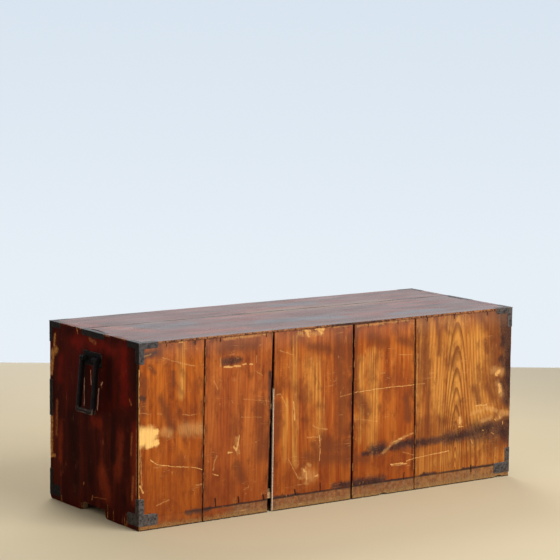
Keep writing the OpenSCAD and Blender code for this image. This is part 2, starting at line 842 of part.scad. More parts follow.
top_board(y_front, y_top_seam);  // top_board_front
top_board(y_top_seam, y_back);  // top_board_rear
side_panel(1);  // side_panel_right
side_panel(-1);  // side_panel_left
bottom_board(y_front, y_mid);  // bottom_board_front
bottom_board(y_mid, y_inside);  // bottom_board_rear
shelf_board();
middle_rail();
front_skirt();
back_board(1);  // back_board_1
back_board(2);  // back_board_2
back_board(3);  // back_board_3
back_board(4);  // back_board_4
back_board(5);  // back_board_5
corner_place(1, 1, case_h) top_corner_iron();  // top_corner_back_right
corner_place(-1, 1, case_h) top_corner_iron();  // top_corner_back_left
corner_place(1, -1, case_h) top_corner_iron();  // top_corner_front_right
corner_place(-1, -1, case_h) top_corner_iron();  // top_corner_front_left
corner_place(1, 1, foot_iron_z) foot_corner_iron();  // foot_corner_back_right
corner_place(-1, 1, foot_iron_z) foot_corner_iron();  // foot_corner_back_left
corner_place(1, -1, foot_iron_z) foot_corner_iron();  // foot_corner_front_right
corner_place(-1, -1, foot_iron_z) foot_corner_iron();  // foot_corner_front_left
top_strap(1);  // top_strap_right
top_strap(-1);  // top_strap_left
front_strap(1);  // front_strap_right
front_strap(-1);  // front_strap_left
iron_nails();
back_nails();
handle_plate(1);  // handle_plate_right
handle_posts(1);  // handle_posts_right
handle_bail(1);  // handle_bail_right
handle_plate(-1);  // handle_plate_left
handle_posts(-1);  // handle_posts_left
handle_bail(-1);  // handle_bail_left
drawer_front(upper_bay);  // upper_drawer_front
drawer_side(1, upper_bay);  // upper_drawer_side_right
drawer_side(-1, upper_bay);  // upper_drawer_side_left
drawer_back(upper_bay);  // upper_drawer_back
drawer_bottom(upper_bay);  // upper_drawer_bottom
drawer_pegs(upper_bay);  // upper_drawer_pegs
pull_posts(upper_bay);  // upper_pull_posts
pull_washers(upper_bay);  // upper_pull_washers
pull_bail(1, upper_bay);  // upper_pull_right
pull_bail(-1, upper_bay);  // upper_pull_left
drawer_front(lower_bay);  // lower_drawer_front
drawer_side(1, lower_bay);  // lower_drawer_side_right
drawer_side(-1, lower_bay);  // lower_drawer_side_left
drawer_back(lower_bay);  // lower_drawer_back
drawer_bottom(lower_bay);  // lower_drawer_bottom
drawer_pegs(lower_bay);  // lower_drawer_pegs
pull_posts(lower_bay);  // lower_pull_posts
pull_washers(lower_bay);  // lower_pull_washers
pull_bail(1, lower_bay);  // lower_pull_right
pull_bail(-1, lower_bay);  // lower_pull_left
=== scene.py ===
"""Low cedar chest of drawers, seen from behind: worn boards, dark lacquer and forged iron."""

import math

import bpy
import numpy as np
from mathutils import Matrix, Vector


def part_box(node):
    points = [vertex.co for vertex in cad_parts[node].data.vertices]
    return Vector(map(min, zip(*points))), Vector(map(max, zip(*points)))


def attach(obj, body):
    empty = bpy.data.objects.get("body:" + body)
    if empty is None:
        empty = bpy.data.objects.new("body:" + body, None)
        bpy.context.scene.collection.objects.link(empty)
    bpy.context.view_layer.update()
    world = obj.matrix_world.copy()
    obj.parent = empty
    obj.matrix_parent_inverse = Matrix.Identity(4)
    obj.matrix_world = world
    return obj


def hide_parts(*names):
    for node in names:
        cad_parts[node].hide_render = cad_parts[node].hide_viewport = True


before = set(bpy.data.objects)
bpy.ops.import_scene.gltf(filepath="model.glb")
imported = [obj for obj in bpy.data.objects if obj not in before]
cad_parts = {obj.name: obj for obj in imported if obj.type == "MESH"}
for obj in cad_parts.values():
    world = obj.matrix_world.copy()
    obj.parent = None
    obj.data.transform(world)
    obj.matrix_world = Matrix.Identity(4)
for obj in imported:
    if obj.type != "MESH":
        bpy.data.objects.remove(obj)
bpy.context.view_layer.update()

MM = 0.001


def box_mm(node):
    """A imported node's low and high corner, in millimetres."""
    return [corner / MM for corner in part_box(node)]


def extent(node, axis):
    """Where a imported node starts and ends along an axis, in millimetres."""
    return [getattr(corner, axis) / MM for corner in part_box(node)]


# Faces of the case, in millimetres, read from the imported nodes
side_low, side_high = box_mm("side_panel_right")
X_IN, X_OUT = side_low.x, side_high.x
Y_FRONT, Y_INSIDE, TOP = side_low.y, side_high.y, side_high.z
Y_BACK, BACK_TOP = (extent("back_board_1", axis)[1] for axis in "yz")
Y_MID = (Y_FRONT + Y_BACK) / 2
UNDER_TOP = extent("top_board_front", "z")[0]
TOP_SEAM = extent("top_board_front", "y")[1]
SHELF_LOW, SHELF_HIGH = extent("shelf_board", "z")
GROOVE_X = extent("shelf_board", "x")[1]
BOTTOM_LOW, BOTTOM_HIGH = extent("bottom_board_rear", "z")
SEAM_V = Y_BACK - TOP_SEAM
SIDES = ((1, "right"), (-1, "left"))

# The joints of the case: fingers, and the parts of a board's edge that its grid resolves
FINGER_W = (Y_INSIDE - Y_FRONT) / 7
FINGER_Y = [Y_FRONT + FINGER_W * place for place in range(1, 7)]
BOARD_RIM = (0.0, 0.4, 1.0, 1.9, 3.2, 5.0)
FOOT_H = 30

# Irons: thickness, arm width and reach, how far a top corner hangs down and stays short of the
# top, the height of a foot corner's arms, the radii of free ends, and the bend over an arris
IRON_T, ARM_W, ARM_L = 1.2, 14.0, 50.0
LEAF_DROP, LEAF_SHORT, FOOT_ARM_H = 49, 0.3, 27
SLIM_END_R, FOOT_END_R = 3.0, 7.0
IRON_RIM = (0, 0.25, 0.7, 1.4)
BEND_R = 2.0
BEND_HALF = BEND_R * math.pi / 4
BEND_IN = IRON_T - BEND_R

# Carrying handle: its pivot's height, and the seats of its posts' tips in the side panel
PIVOT_Z = sum(extent("handle_plate_right", "z")) / 2
TIP_Y, TIP_HALF_W, TIP_HALF_L, TIP_DEPTH = 22.5, 2.9, 13.2, 2.2


# Shapes


def ripple(u, v, seed, size):
    """Smooth unevenness of about -1 to 1: a sum of sine waves of seeded turn, phase and length."""
    waves, full = 7, 6.28
    draws = np.random.default_rng(seed).uniform((0, 0, 0.6), (full, full, 1.9), (waves, 3))
    total = np.zeros(np.broadcast(u, v).shape)
    for turn, phase, stretch in draws:
        total += np.sin(full * (u * math.cos(turn) + v * math.sin(turn)) / (size * stretch) + phase)
    return total / (waves / 2)


def uneven(u, v, mean, spread, seed, size, least, most):
    """A mean that a ripple moves by the spread, kept between the least and the most."""
    return np.clip(mean + spread * ripple(u, v, seed, size), least, most)


def wave(u, v, seed):
    """How far a planed face dips: 0 to 0.6 mm in long waves."""
    return uneven(u, v, 0.15, 0.15, seed, 60, 0, 0.6)


def hammered(u, v, seed, fine_seed):
    """Depth of hammer marks: shallow dimples of two sizes."""
    return uneven(u, v, 0.09, 0.09, seed, 9, 0, 0.18) + uneven(u, v, 0.05, 0.05, fine_seed, 4, 0, 0.10)


def rounded(distance, radius):
    """Depth of a rounded arris or corner: a quarter circle of the radius, nothing further in."""
    inside = np.clip(radius - distance, 0, radius)
    return radius - np.sqrt(np.maximum(radius**2 - inside**2, 0))


def lifted(height, low):
    """Heights whose lowest stretch is pressed together, so that it starts at the low line."""
    return np.where(height < FOOT_H, low + height * (FOOT_H - low) / FOOT_H, height)


def lines(low, high, step, stops=(), rim=BOARD_RIM):
    """Grid lines from low to high at most a step apart, close together inside both ends, and
    doubled a hair apart at each stop, where the surface steps."""
    hair, clear = 0.06, 0.35
    inner = np.linspace(low + rim[-1], high - rim[-1], max(2, math.ceil((high - low) / step)))
    places = [low + r for r in rim] + [high - r for r in rim] + list(inner)
    for stop in stops:
        places = [p for p in places if abs(p - stop) > clear or p in (low, high)]
        places += [stop - hair, stop + hair]
    return np.unique(np.round(places, 4))


def outward(points, faces):
    """The faces of a closed surface turned outwards: the volume they bound comes out positive."""
    a, b, c, d = (points[faces[:, k]] for k in range(4))
    volume = np.sum(np.einsum("ij,ij->i", np.cross(a - c, b - d), a + b + c + d))
    return faces if volume > 0 else faces[:, ::-1]


def to_mesh(name, shape, finish, body, node):
    """Makes the piece from its points in millimetres, seats it, and puts it in the node's place."""
    points, faces, rim = shape
    used, faces = np.unique(faces, return_inverse=True)
    faces = faces.reshape(-1, 4)
    points = points[used] * MM
    mesh = bpy.data.meshes.new(name)
    mesh.from_pydata(points.tolist(), [], outward(points, faces).tolist())
    rims = (rim[used] + 1).astype(np.float32)
    mesh.attributes.new("rim", "FLOAT", "POINT").data.foreach_set("value", rims)
    mesh.shade_smooth()
    mesh.set_sharp_from_angle(angle=math.radians(38))
    mesh.materials.append(finish)
    piece = bpy.data.objects.new(name, mesh)
    bpy.context.scene.collection.objects.link(piece)
    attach(piece, body)
    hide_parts(node)


def everywhere(u, v):
    return np.ones(u.shape, bool)


def nothing(u, v):
    return np.zeros(u.shape)


def sheet(place, us, vs, edge, outer, inner=nothing, kept=everywhere):
    """A closed sheet over the kept cells of a grid: place turns the two grid distances and a
    height into a point, outer and inner are the heights of its two faces, and walls join them
    round the kept cells. edge is the distance to the nearest arris, kept with the points as rim,
    and the inner face adds its depth. Gives points, faces and rim."""
    u, v = np.meshgrid(us, vs, indexing="ij")
    cells = kept(*(grid[:-1, :-1] / 2 + grid[1:, 1:] / 2 for grid in (u, v)))
    high, low = outer(u, v), inner(u, v)
    points = np.concatenate([np.stack(place(u, v, h), -1).reshape(-1, 3) for h in (high, low)])
    count = u.size
    index = np.arange(count).reshape(u.shape)
    corners = [index[:-1, :-1], index[1:, :-1], index[1:, 1:], index[:-1, 1:]]
    face = np.stack([c[cells] for c in corners], -1)
    faces = [face, face[:, ::-1] + count]
    ringed = np.pad(cells, 1)
    beyond = [ringed[1:-1, :-2], ringed[2:, 1:-1], ringed[1:-1, 2:], ringed[:-2, 1:-1]]
    for k in range(4):
        wall = cells & ~beyond[k]
        start, end = corners[k][wall], corners[(k + 1) % 4][wall]
        faces.append(np.stack([end, start, start + count, end + count], -1))
    rim = np.clip(edge(u, v), 0, 60)
    rims = np.concatenate([rim.ravel(), (rim + np.abs(high - low)).ravel()])
    return points, outward(points, np.concatenate(faces)), rims


def tube(rings):
    """Rings of points joined into a tube. Each end is closed by a fan about its middle, each of
    whose faces takes two steps of the ring."""
    rows, columns, _ = rings.shape
    grid = np.arange(rows * columns).reshape(rows, columns)
    after = np.roll(grid, -1, axis=1)
    faces = [np.stack([grid[:-1], grid[1:], after[1:], after[:-1]], -1).reshape(-1, 4)]
    for row, turned, middle in ((0, 1, grid.size), (-1, -1, grid.size + 1)):
        middles = np.full(columns // 2, middle)
        fan = np.stack([middles, grid[row][::2], after[row][::2], after[row][1::2]], -1)
        faces.append(fan[:, ::turned])
    points = np.concatenate([rings.reshape(-1, 3), rings[[0, -1]].mean(axis=1)])
    return points, outward(points, np.concatenate(faces))


def joined(*parts):
    """Several closed surfaces as one set of points, faces and rim values."""
    starts = np.cumsum([0] + [len(points) for points, _, _ in parts])
    points, faces, rims = zip(*((p, f + start, r) for (p, f, r), start in zip(parts, starts)))
    return np.concatenate(points), np.concatenate(faces), np.concatenate(rims)


# Finishes


class Nodes:
    """A node tree being built: each method adds nodes and gives back the socket to use next."""

    def __init__(self, tree):
        self.tree = tree

    def node(self, kind, *values, **settings):
        """Adds a node with its settings and fills its inputs in order, with sockets or values."""
        node = self.tree.nodes.new("ShaderNode" + kind)
        for key, value in settings.items():
            setattr(node, key, value)
        for socket, value in zip(node.inputs, values):
            self.fill(socket, value)
        return node

    def fill(self, socket, value):
        if isinstance(value, bpy.types.NodeSocket):
            self.tree.links.new(value, socket)
        else:
            socket.default_value = (*value, 1) if socket.type == "RGBA" else value

    def math(self, operation, *values):
        return self.node("Math", *values, operation=operation).outputs[0]

    def times(self, first, *others):
        for value in others:
            first = self.math("MULTIPLY", first, value)
        return first

    def scaled(self, value, factor, plus):
        return self.math("MULTIPLY_ADD", value, factor, plus)

    def less(self, value, other):
        return self.math("SUBTRACT", value, other)

    def off(self, value, middle):
        """How far the value lies from the middle, either way."""
        return self.math("ABSOLUTE", self.less(value, middle))

    def vector(self, operation, *values):
        node = self.node("VectorMath", *values, operation=operation)
        return node.outputs["Value" if operation in ("LENGTH", "DISTANCE", "DOT_PRODUCT") else 0]

    def parts(self, vector):
        return self.node("SeparateXYZ", vector).outputs

    def span(self, value, low, high, start=0.0, end=1.0):
        """Smooth step of the value from start at low to end at high."""
        node = self.node("MapRange", value, low, high, start, end, interpolation_type="SMOOTHSTEP")
        return node.outputs[0]

    def mix(self, share, a, b):
        node = self.node("Mix", data_type="RGBA")
        for socket, value in zip((node.inputs[0], node.inputs[6], node.inputs[7]), (share, a, b)):
            self.fill(socket, value)
        return node.outputs[2]

    def laid(self, colour, *coats):
        """The colour with coats laid over it one by one, each with its share and its tint."""
        for share, tint in coats:
            colour = self.mix(share, colour, tint)
        return colour


class Finish(Nodes):
    """A material being built. It knows a point's place in millimetres, the direction of the
    surface there, and its distance from the nearest arris, which new pieces hold as rim."""

    def __init__(self, name):
        self.material = bpy.data.materials.new(name)
        self.material.use_nodes = True
        super().__init__(self.material.node_tree)
        self.shader = self.tree.nodes["Principled BSDF"]
        coordinates = self.node("TexCoord").outputs
        self.here, self.facing = coordinates["Object"], self.parts(coordinates["Normal"])
        stored = self.node("Attribute", attribute_name="rim").outputs["Fac"]
        known = self.math("GREATER_THAN", stored, 0.5)
        self.rim = self.math("ADD", stored, self.scaled(known, -10.0, 9.0))
        self.x, self.y, self.z = (self.times(part, 1 / MM) for part in self.parts(self.here))
        self.whole = self.node("CombineXYZ", self.x, self.y, self.z).outputs[0]

    def flat(self, across, up):
        """The surface laid flat: two millimetre distances as a vector."""
        return self.node("CombineXYZ", across, up, 0.0).outputs[0]

    def stretched(self, vector, scale, move=(0, 0), turn=0.0):
        """The vector scaled and moved along two or three axes, and turned in the flat."""
        place, size = (*move, 0)[:3], (*scale, 1)[:3]
        return self.node("Mapping", vector, place, (0, 0, turn), size).outputs[0]

    def noise(self, vector, detail, rough, output="Fac"):
        node = self.node("TexNoise")
        for name, value in (("Vector", vector), ("Scale", 1.0), ("Detail", detail), ("Roughness", rough)):
            self.fill(node.inputs[name], value)
        return node.outputs[output]

    def grain(self, vector, scale, move=(0, 0), detail=3.0, rough=0.55):
        return self.noise(self.stretched(vector, scale, move), detail, rough)

    def swayed(self, value, noise, reach):
        """The value moved by up to half the reach either way, following a noise."""
        return self.scaled(self.less(noise, 0.5), reach, value)

    def shifted(self, vector, scale, reach):
        """The vector moved about by up to the reach, following noise of the scale."""
        drift = self.noise(self.stretched(vector, scale), 2.0, 0.55, "Color")
        drift = self.vector("SUBTRACT", drift, (0.5, 0.5, 0.5))
        return self.vector("ADD", vector, self.vector("MULTIPLY", drift, (*reach, 0)))

    def strokes(self, vector, rows, soft, rag, amount, most=99.0):
        """Mask of long marks, each a line between two ends with a half width: 1 inside, and 0
        outside, fading over the soft share of the half width. The rag, a noise, tears the rims
        by the amount in half widths, and by no more than the most millimetres."""
        nearest = 9.0
        for a, b, c, d, half_w in rows:
            half_l = math.hypot(c - a, d - b) / 2 / half_w
            turn = math.atan2(d - b, c - a)
            place = self.node("Mapping", vector, ((a + c) / 2, (b + d) / 2, 0), (0, 0, turn),
                              (half_w, half_w, 1), vector_type="TEXTURE").outputs[0]
            onto = self.vector("MAXIMUM", place, (-half_l, 0, 0))
            onto = self.vector("MINIMUM", onto, (half_l, 0, 0))
            tear = min(amount, most / half_w)
            reach = self.math("ADD", self.vector("DISTANCE", place, onto), self.scaled(rag, tear, -tear / 2))
            nearest = self.math("MINIMUM", reach, nearest)
        return self.span(nearest, 1 - soft, 1, 1, 0)

    def hairlines(self, vector, scale, turn, low, high):
        """Fine wandering scratches: the places where a drawn-out noise crosses its middle, kept
        where a broad noise is high."""
        crossing = self.off(self.noise(self.stretched(vector, scale, (3, 7), turn), 1.0, 0.55), 0.5)
        where = self.noise(self.stretched(vector, (0.02, 0.03), (9, turn * 5), turn), 3.0, 0.55)
        return self.times(self.span(crossing, 0.003, 0.013, 1, 0), self.span(where, low, high))

    def rings(self, vector, axis, depth, slope, close, wide, fan=0.0, wander=12.0):
        """Growth rings on a sawn face. The pith runs under the board along the axis line, at a
        depth that grows by the slope. A point's ring number is a logarithm of its distance from
        the pith plus an even count, so that rings are close near the pith and wide further out.
        On the far side of the axis the lines fan out below a height, by the square of the fall.
        Gives the dark late wood at the end of each ring."""
        fan_top, fan_most = 335.0, 230.0
        moved = self.shifted(vector, (0.010, 0.0024), (wander, 0))
        moved = self.shifted(moved, (0.06, 0.008), (wander * 0.15, 0))
        across, up, _ = self.parts(moved)
        across = self.less(across, axis)
        fall = self.math("MINIMUM", self.math("MAXIMUM", self.less(fan_top, up), 0.0), fan_most)
        across = self.scaled(self.times(fall, fall, -fan), self.span(across, 5.0, 120.0), across)
        radius = self.vector("LENGTH", self.flat(self.times(across, 0.6), self.scaled(up, slope, depth)))
        near = self.math("LOGARITHM", self.scaled(radius, 0.25, 1.0), math.e)
        number = self.scaled(radius, 1 / wide, self.times(near, close))
        share = self.math("FRACT", number)
        which = self.noise(self.flat(self.math("FLOOR", number), 0.0), 0.0, 0.55)
        fade = self.grain(vector, (0.04, 0.004), (11, 3), 2.0)
        late = self.times(self.span(share, 0.34, 0.84), self.span(share, 1.0, 0.92))
        strength = self.times(self.span(which, 0.38, 0.62, 0.22, 1.0), self.span(fade, 0.32, 0.62, 0.45, 1.0))
        return self.times(late, self.math("MAXIMUM", strength, self.span(radius, 34.0, 24.0)))

    def done(self, colour, roughness, specular, relief=None, depth=0.0, strength=1.0):
        """Fills the shader, with the relief as a bump of the depth in metres."""
        looks = {"Base Color": colour, "Roughness": roughness, "Specular IOR Level": specular}
        for name, value in looks.items():
            self.fill(self.shader.inputs[name], value)
        if relief is not None:
            bump = self.node("Bump")
            for name, value in (("Strength", strength), ("Distance", depth), ("Height", relief)):
                self.fill(bump.inputs[name], value)
            self.fill(self.shader.inputs["Normal"], bump.outputs["Normal"])
        return self.material


def toned(colour, factor):
    return tuple(factor * part for part in colour)


NEAR_BLACK = (0.016, 0.008, 0.006)
SMOKE, SOOT = (0.072, 0.034, 0.026), (0.024, 0.016, 0.016)
BURNT = (0.17, 0.030, 0.007)

# The back boards, by number from the right side. Edges are where a board's near edge lies at its
# top and foot, then its far edge. The rest are its two browns, its rings and their depth, how
# lively its grain is, and its marks: straight strokes with round ends, each given by its two
# ends and half width. Lengths are in millimetres, from the right side and from the floor.
BACK_BOARDS = {
    1: {"edges": (0, 0, 175, 170), "browns": ((0.57, 0.152, 0.018), (0.38, 0.078, 0.009)),
        "rings": (88, 40, 0.10, 6.0, 8.0), "ring_depth": 0.34, "lively": 0.9,
        "raw": [(-20, 214, 26, 216, 31), (24, 196, 46, 200, 12), (30, 222, 44, 224, 12)],
        "bare": [(0.5, 368, 0.5, 60, 1.4), (108, 423, 127, 426, 3), (3, 105, 11, 88, 2.6),
                 (31, 161, 49, 148, 1.5), (49, 148, 89, 140, 1.4), (89, 140, 148, 131, 1.2),
                 (148, 131, 169, 124, 1.2)],
        "faint": [(120, 222, 165, 218, 26), (66, 222, 80, 218, 18), (116, 257, 130, 253, 2.2),
                  (130, 253, 156, 254, 1.8), (63, 391, 104, 378, 1.8), (100, 378, 149, 365, 2),
                  (50, 265, 60, 263, 3), (0, 272, 30, 266, 1.4), (48, 54, 80, 64, 2),
                  (30, 430, 100, 428, 6), (4, 200, 8, 90, 3), (14, 398, 30, 402, 3)],
        "ochre": [(110, 430, 112, 300, 16)],
        "mauve": [(13, 340, 13, 270, 18), (60, 300, 88, 230, 20), (92, 355, 92, 325, 9),
                  (10, 398, 54, 404, 20), (26, 372, 40, 358, 10)],
        "dark": [(128, 29, 188, 28, 9), (10, 400, 44, 406, 10), (3, 304, 14, 302, 9)],
        "nails": [(73, 422, 73, 416, 1.8), (149, 423, 149, 414, 1.8)]},
    2: {"edges": (176.5, 171.5, 364.5, 351.5), "browns": ((0.54, 0.150, 0.028), (0.36, 0.076, 0.016)),
        "rings": (520, 60, 0.05, 6.0, 6.0), "ring_depth": 0.34, "lively": 0.9,
        "bare": [(229, 355, 251, 354, 2.8), (256, 355, 274, 353, 2.8), (280, 357, 289, 357, 2.2),
                 (299, 356, 306, 355, 2.2), (272, 192, 266, 162, 2.2), (258, 166, 263, 160, 4.5),
                 (240, 154, 252, 154, 2.2), (199, 109, 213, 105, 1.8)],
        "faint": [(200, 118, 203, 138, 2.6), (203, 138, 209, 150, 2.6), (282, 276, 362, 262, 1.1),
                  (276, 234, 334, 228, 1.1), (264, 186, 268, 150, 7), (230, 421, 345, 423, 6),
                  (218, 376, 219, 358, 2.2), (318, 374, 318, 358, 1.8), (201, 326, 211, 306, 2.2),
                  (313, 341, 335, 326, 1.6)],
        "ochre": [(261, 40, 260, 8, 9)],
        "mauve": [(222, 400, 314, 398, 30), (332, 260, 330, 140, 30), (268, 120, 280, 90, 22)],
        "dark": [(230, 367, 268, 367, 16), (176, 29, 192, 29, 8), (358, 330, 360, 150, 9)],
        "nails": [(206, 51, 207, 34, 2.6), (270, 48, 270, 34, 2.6), (339, 43, 341, 32, 2.6),
                  (218, 423, 218, 416, 2), (345, 423, 345, 416, 2)]},
    3: {"edges": (367.5, 365, 596, 595), "browns": ((0.57, 0.160, 0.022), (0.33, 0.062, 0.012)),
        "rings": (240, 60, 0.05, 6.0, 8.5), "ring_depth": 0.36, "lively": 0.8, "pale_edge": True,
        "bare": [(424, 254, 428, 212, 2.6), (452, 423, 466, 421, 5), (462, 416, 466, 408, 4.5),
                 (486, 424, 508, 421, 5), (496, 418, 503, 413, 4.5), (500, 168, 503, 140, 1.7),
                 (503, 136, 501, 106, 1.4), (455, 90, 458, 86, 3), (463, 84, 465, 62, 2.4),
                 (490, 70, 494, 72, 3)],
        "faint": [(383, 381, 421, 367, 1.8), (466, 166, 498, 164, 2.5), (482, 192, 494, 186, 3),
                  (500, 184, 522, 180, 3), (462, 80, 478, 72, 24), (462, 92, 464, 56, 9),
                  (452, 92, 457, 84, 7), (468, 102, 474, 96, 6), (446, 69, 494, 71, 8),
                  (376, 277, 388, 277, 2.6), (388, 276, 403, 248, 2.4), (412, 118, 440, 70, 2),
                  (520, 425, 590, 424, 4), (440, 416, 505, 412, 9), (560, 254, 596, 259, 1.6)],
        "ochre": [(428, 406, 430, 110, 18), (400, 260, 402, 120, 12), (480, 332, 482, 272, 46),
                  (500, 250, 505, 170, 22)],
        "mauve": [(508, 141, 597, 128, 42), (470, 116, 580, 104, 36), (588, 294, 590, 229, 18),
                  (556, 400, 566, 170, 36), (470, 384, 528, 370, 24), (378, 250, 380, 180, 22),
                  (486, 146, 500, 112, 18), (584, 400, 588, 320, 14)],
        "dark": [(545, 38, 600, 37, 15), (597, 150, 600, 300, 9), (372, 33, 440, 33, 5)],
        "soot": [(570, 38, 606, 37, 8)],
        "nails": [(430, 44, 431, 32, 2.8), (504, 50, 505, 33, 2.2), (452, 424, 452, 414, 1.6)]},
    4: {"edges": (600, 599, 783, 788), "browns": ((0.57, 0.160, 0.022), (0.36, 0.076, 0.012)),
        "rings": (960, 60, 0.05, 6.0, 8.5), "ring_depth": 0.36, "lively": 0.8,
        "bare": [(724, 127, 734, 130, 1.4), (738, 132, 747, 133, 2.4), (714, 72, 745, 72, 1.8),
                 (745, 71, 763, 69, 2.6), (764, 75, 790, 80, 1.3), (683, 263, 784, 262, 1.2),
                 (603, 260, 683, 263, 1.2)],
        "faint": [(736, 340, 775, 337, 1.8), (718, 69, 760, 67, 3), (752, 98, 790, 86, 1.6),
                  (610, 420, 770, 424, 5), (690, 102, 712, 118, 6), (718, 124, 752, 134, 7),
                  (750, 136, 784, 142, 3), (602, 196, 672, 183, 1.6), (602, 205, 604, 190, 3)],
        "ochre": [(656, 346, 657, 122, 32), (623, 337, 623, 143, 20)],
        "mauve": [(738, 376, 774, 364, 26), (604, 420, 606, 300, 12), (650, 392, 684, 372, 32),
                  (760, 230, 764, 180, 18), (612, 250, 640, 215, 30), (610, 100, 640, 92, 22)],
        "dark": [(630, 106, 655, 108, 10), (662, 113, 688, 116, 25), (700, 112, 730, 115, 10),
                 (728, 116, 790, 119, 21), (600, 38, 690, 36, 21), (690, 31, 790, 31, 5)],
        "soot": [(664, 114, 686, 117, 13), (740, 118, 790, 119, 11), (600, 38, 684, 37, 10)],
        "nails": [(756, 47, 756, 30, 2.2), (640, 424, 640, 416, 1.6), (730, 424, 730, 416, 1.6)]},
    5: {"edges": (785, 790, 1091, 1091), "browns": ((0.66, 0.270, 0.052), (0.45, 0.140, 0.024)),
        "rings": (916, 1.3, 0.060, 5.3, 11.0, 0.00085, 9.0), "ring_depth": 0.66, "lively": 0.5,
        "seam": ((0.09, 0.026, 0.010), (0.16, 0.045, 0.016)),
        "bare": [(1044, 264, 1054, 270, 7), (1055, 238, 1057, 220, 6), (786, 80, 800, 80, 1.3),
                 (800, 80, 845, 83, 1.0), (845, 83, 896, 85, 1.6), (1002, 126, 1007, 124, 1.3),
                 (1042, 150, 1045, 146, 1.4), (1057, 158, 1059, 151, 1.8), (1032, 117, 1039, 113, 1.2),
                 (1067, 140, 1068, 135, 1.6), (966, 106, 971, 97, 1.1), (978, 191, 1014, 190, 1.3),
                 (926, 142, 940, 142, 1.5), (928, 166, 930, 152, 3.2)],
        "faint": [(792, 336, 792, 190, 2.4), (930, 165, 932, 150, 8), (978, 190, 1014, 189, 4),
                  (786, 262, 815, 262, 1.8), (1034, 276, 1062, 268, 16), (800, 428, 1060, 428, 5),
                  (1050, 240, 1062, 212, 14), (1012, 182, 1046, 172, 9), (1060, 164, 1091, 160, 12),
                  (965, 172, 1000, 178, 7), (1000, 150, 1030, 156, 8), (1050, 150, 1070, 158, 9)],
        "ochre": [(785, 60, 786, 20, 12), (1000, 178, 1089, 164, 18), (905, 410, 905, 150, 40),
                  (975, 360, 985, 170, 46), (1030, 320, 1030, 250, 20), (850, 60, 1000, 90, 20),
                  (868, 200, 870, 140, 26), (955, 100, 985, 70, 9), (985, 102, 1010, 76, 8),
                  (1030, 98, 1046, 74, 8)],
        "mauve": [(812, 426, 814, 260, 26), (852, 420, 858, 330, 12), (1008, 352, 1016, 328, 18),
                  (976, 236, 990, 200, 18), (828, 320, 830, 140, 10), (1034, 410, 1044, 240, 44),
                  (1040, 84, 1080, 90, 34), (985, 425, 1010, 385, 30), (1014, 240, 1040, 204, 26)],
        "dark": [(1080, 414, 1086, 196, 36), (1060, 412, 1072, 330, 28), (1062, 300, 1070, 286, 20),
                 (1066, 236, 1080, 196, 30), (784, 117, 889, 118, 17), (885, 119, 985, 123, 28),
                 (975, 124, 1089, 128, 46), (1050, 128, 1089, 104, 32), (940, 34, 1040, 35, 5),
                 (810, 33, 856, 33, 7), (1040, 426, 1089, 424, 12)],
        "soot": [(900, 119, 970, 122, 9), (985, 128, 1030, 134, 14), (1060, 120, 1089, 112, 16),
                 (1078, 380, 1084, 240, 16), (1062, 360, 1068, 340, 9)],
        "nails": [(968, 41, 968, 26, 3), (820, 424, 820, 416, 2), (905, 425, 905, 416, 2),
                  (1010, 424, 1010, 416, 2)]},
}
OPEN_SEAM = ((0.012, 0.003, 0.002), (0.030, 0.007, 0.003))


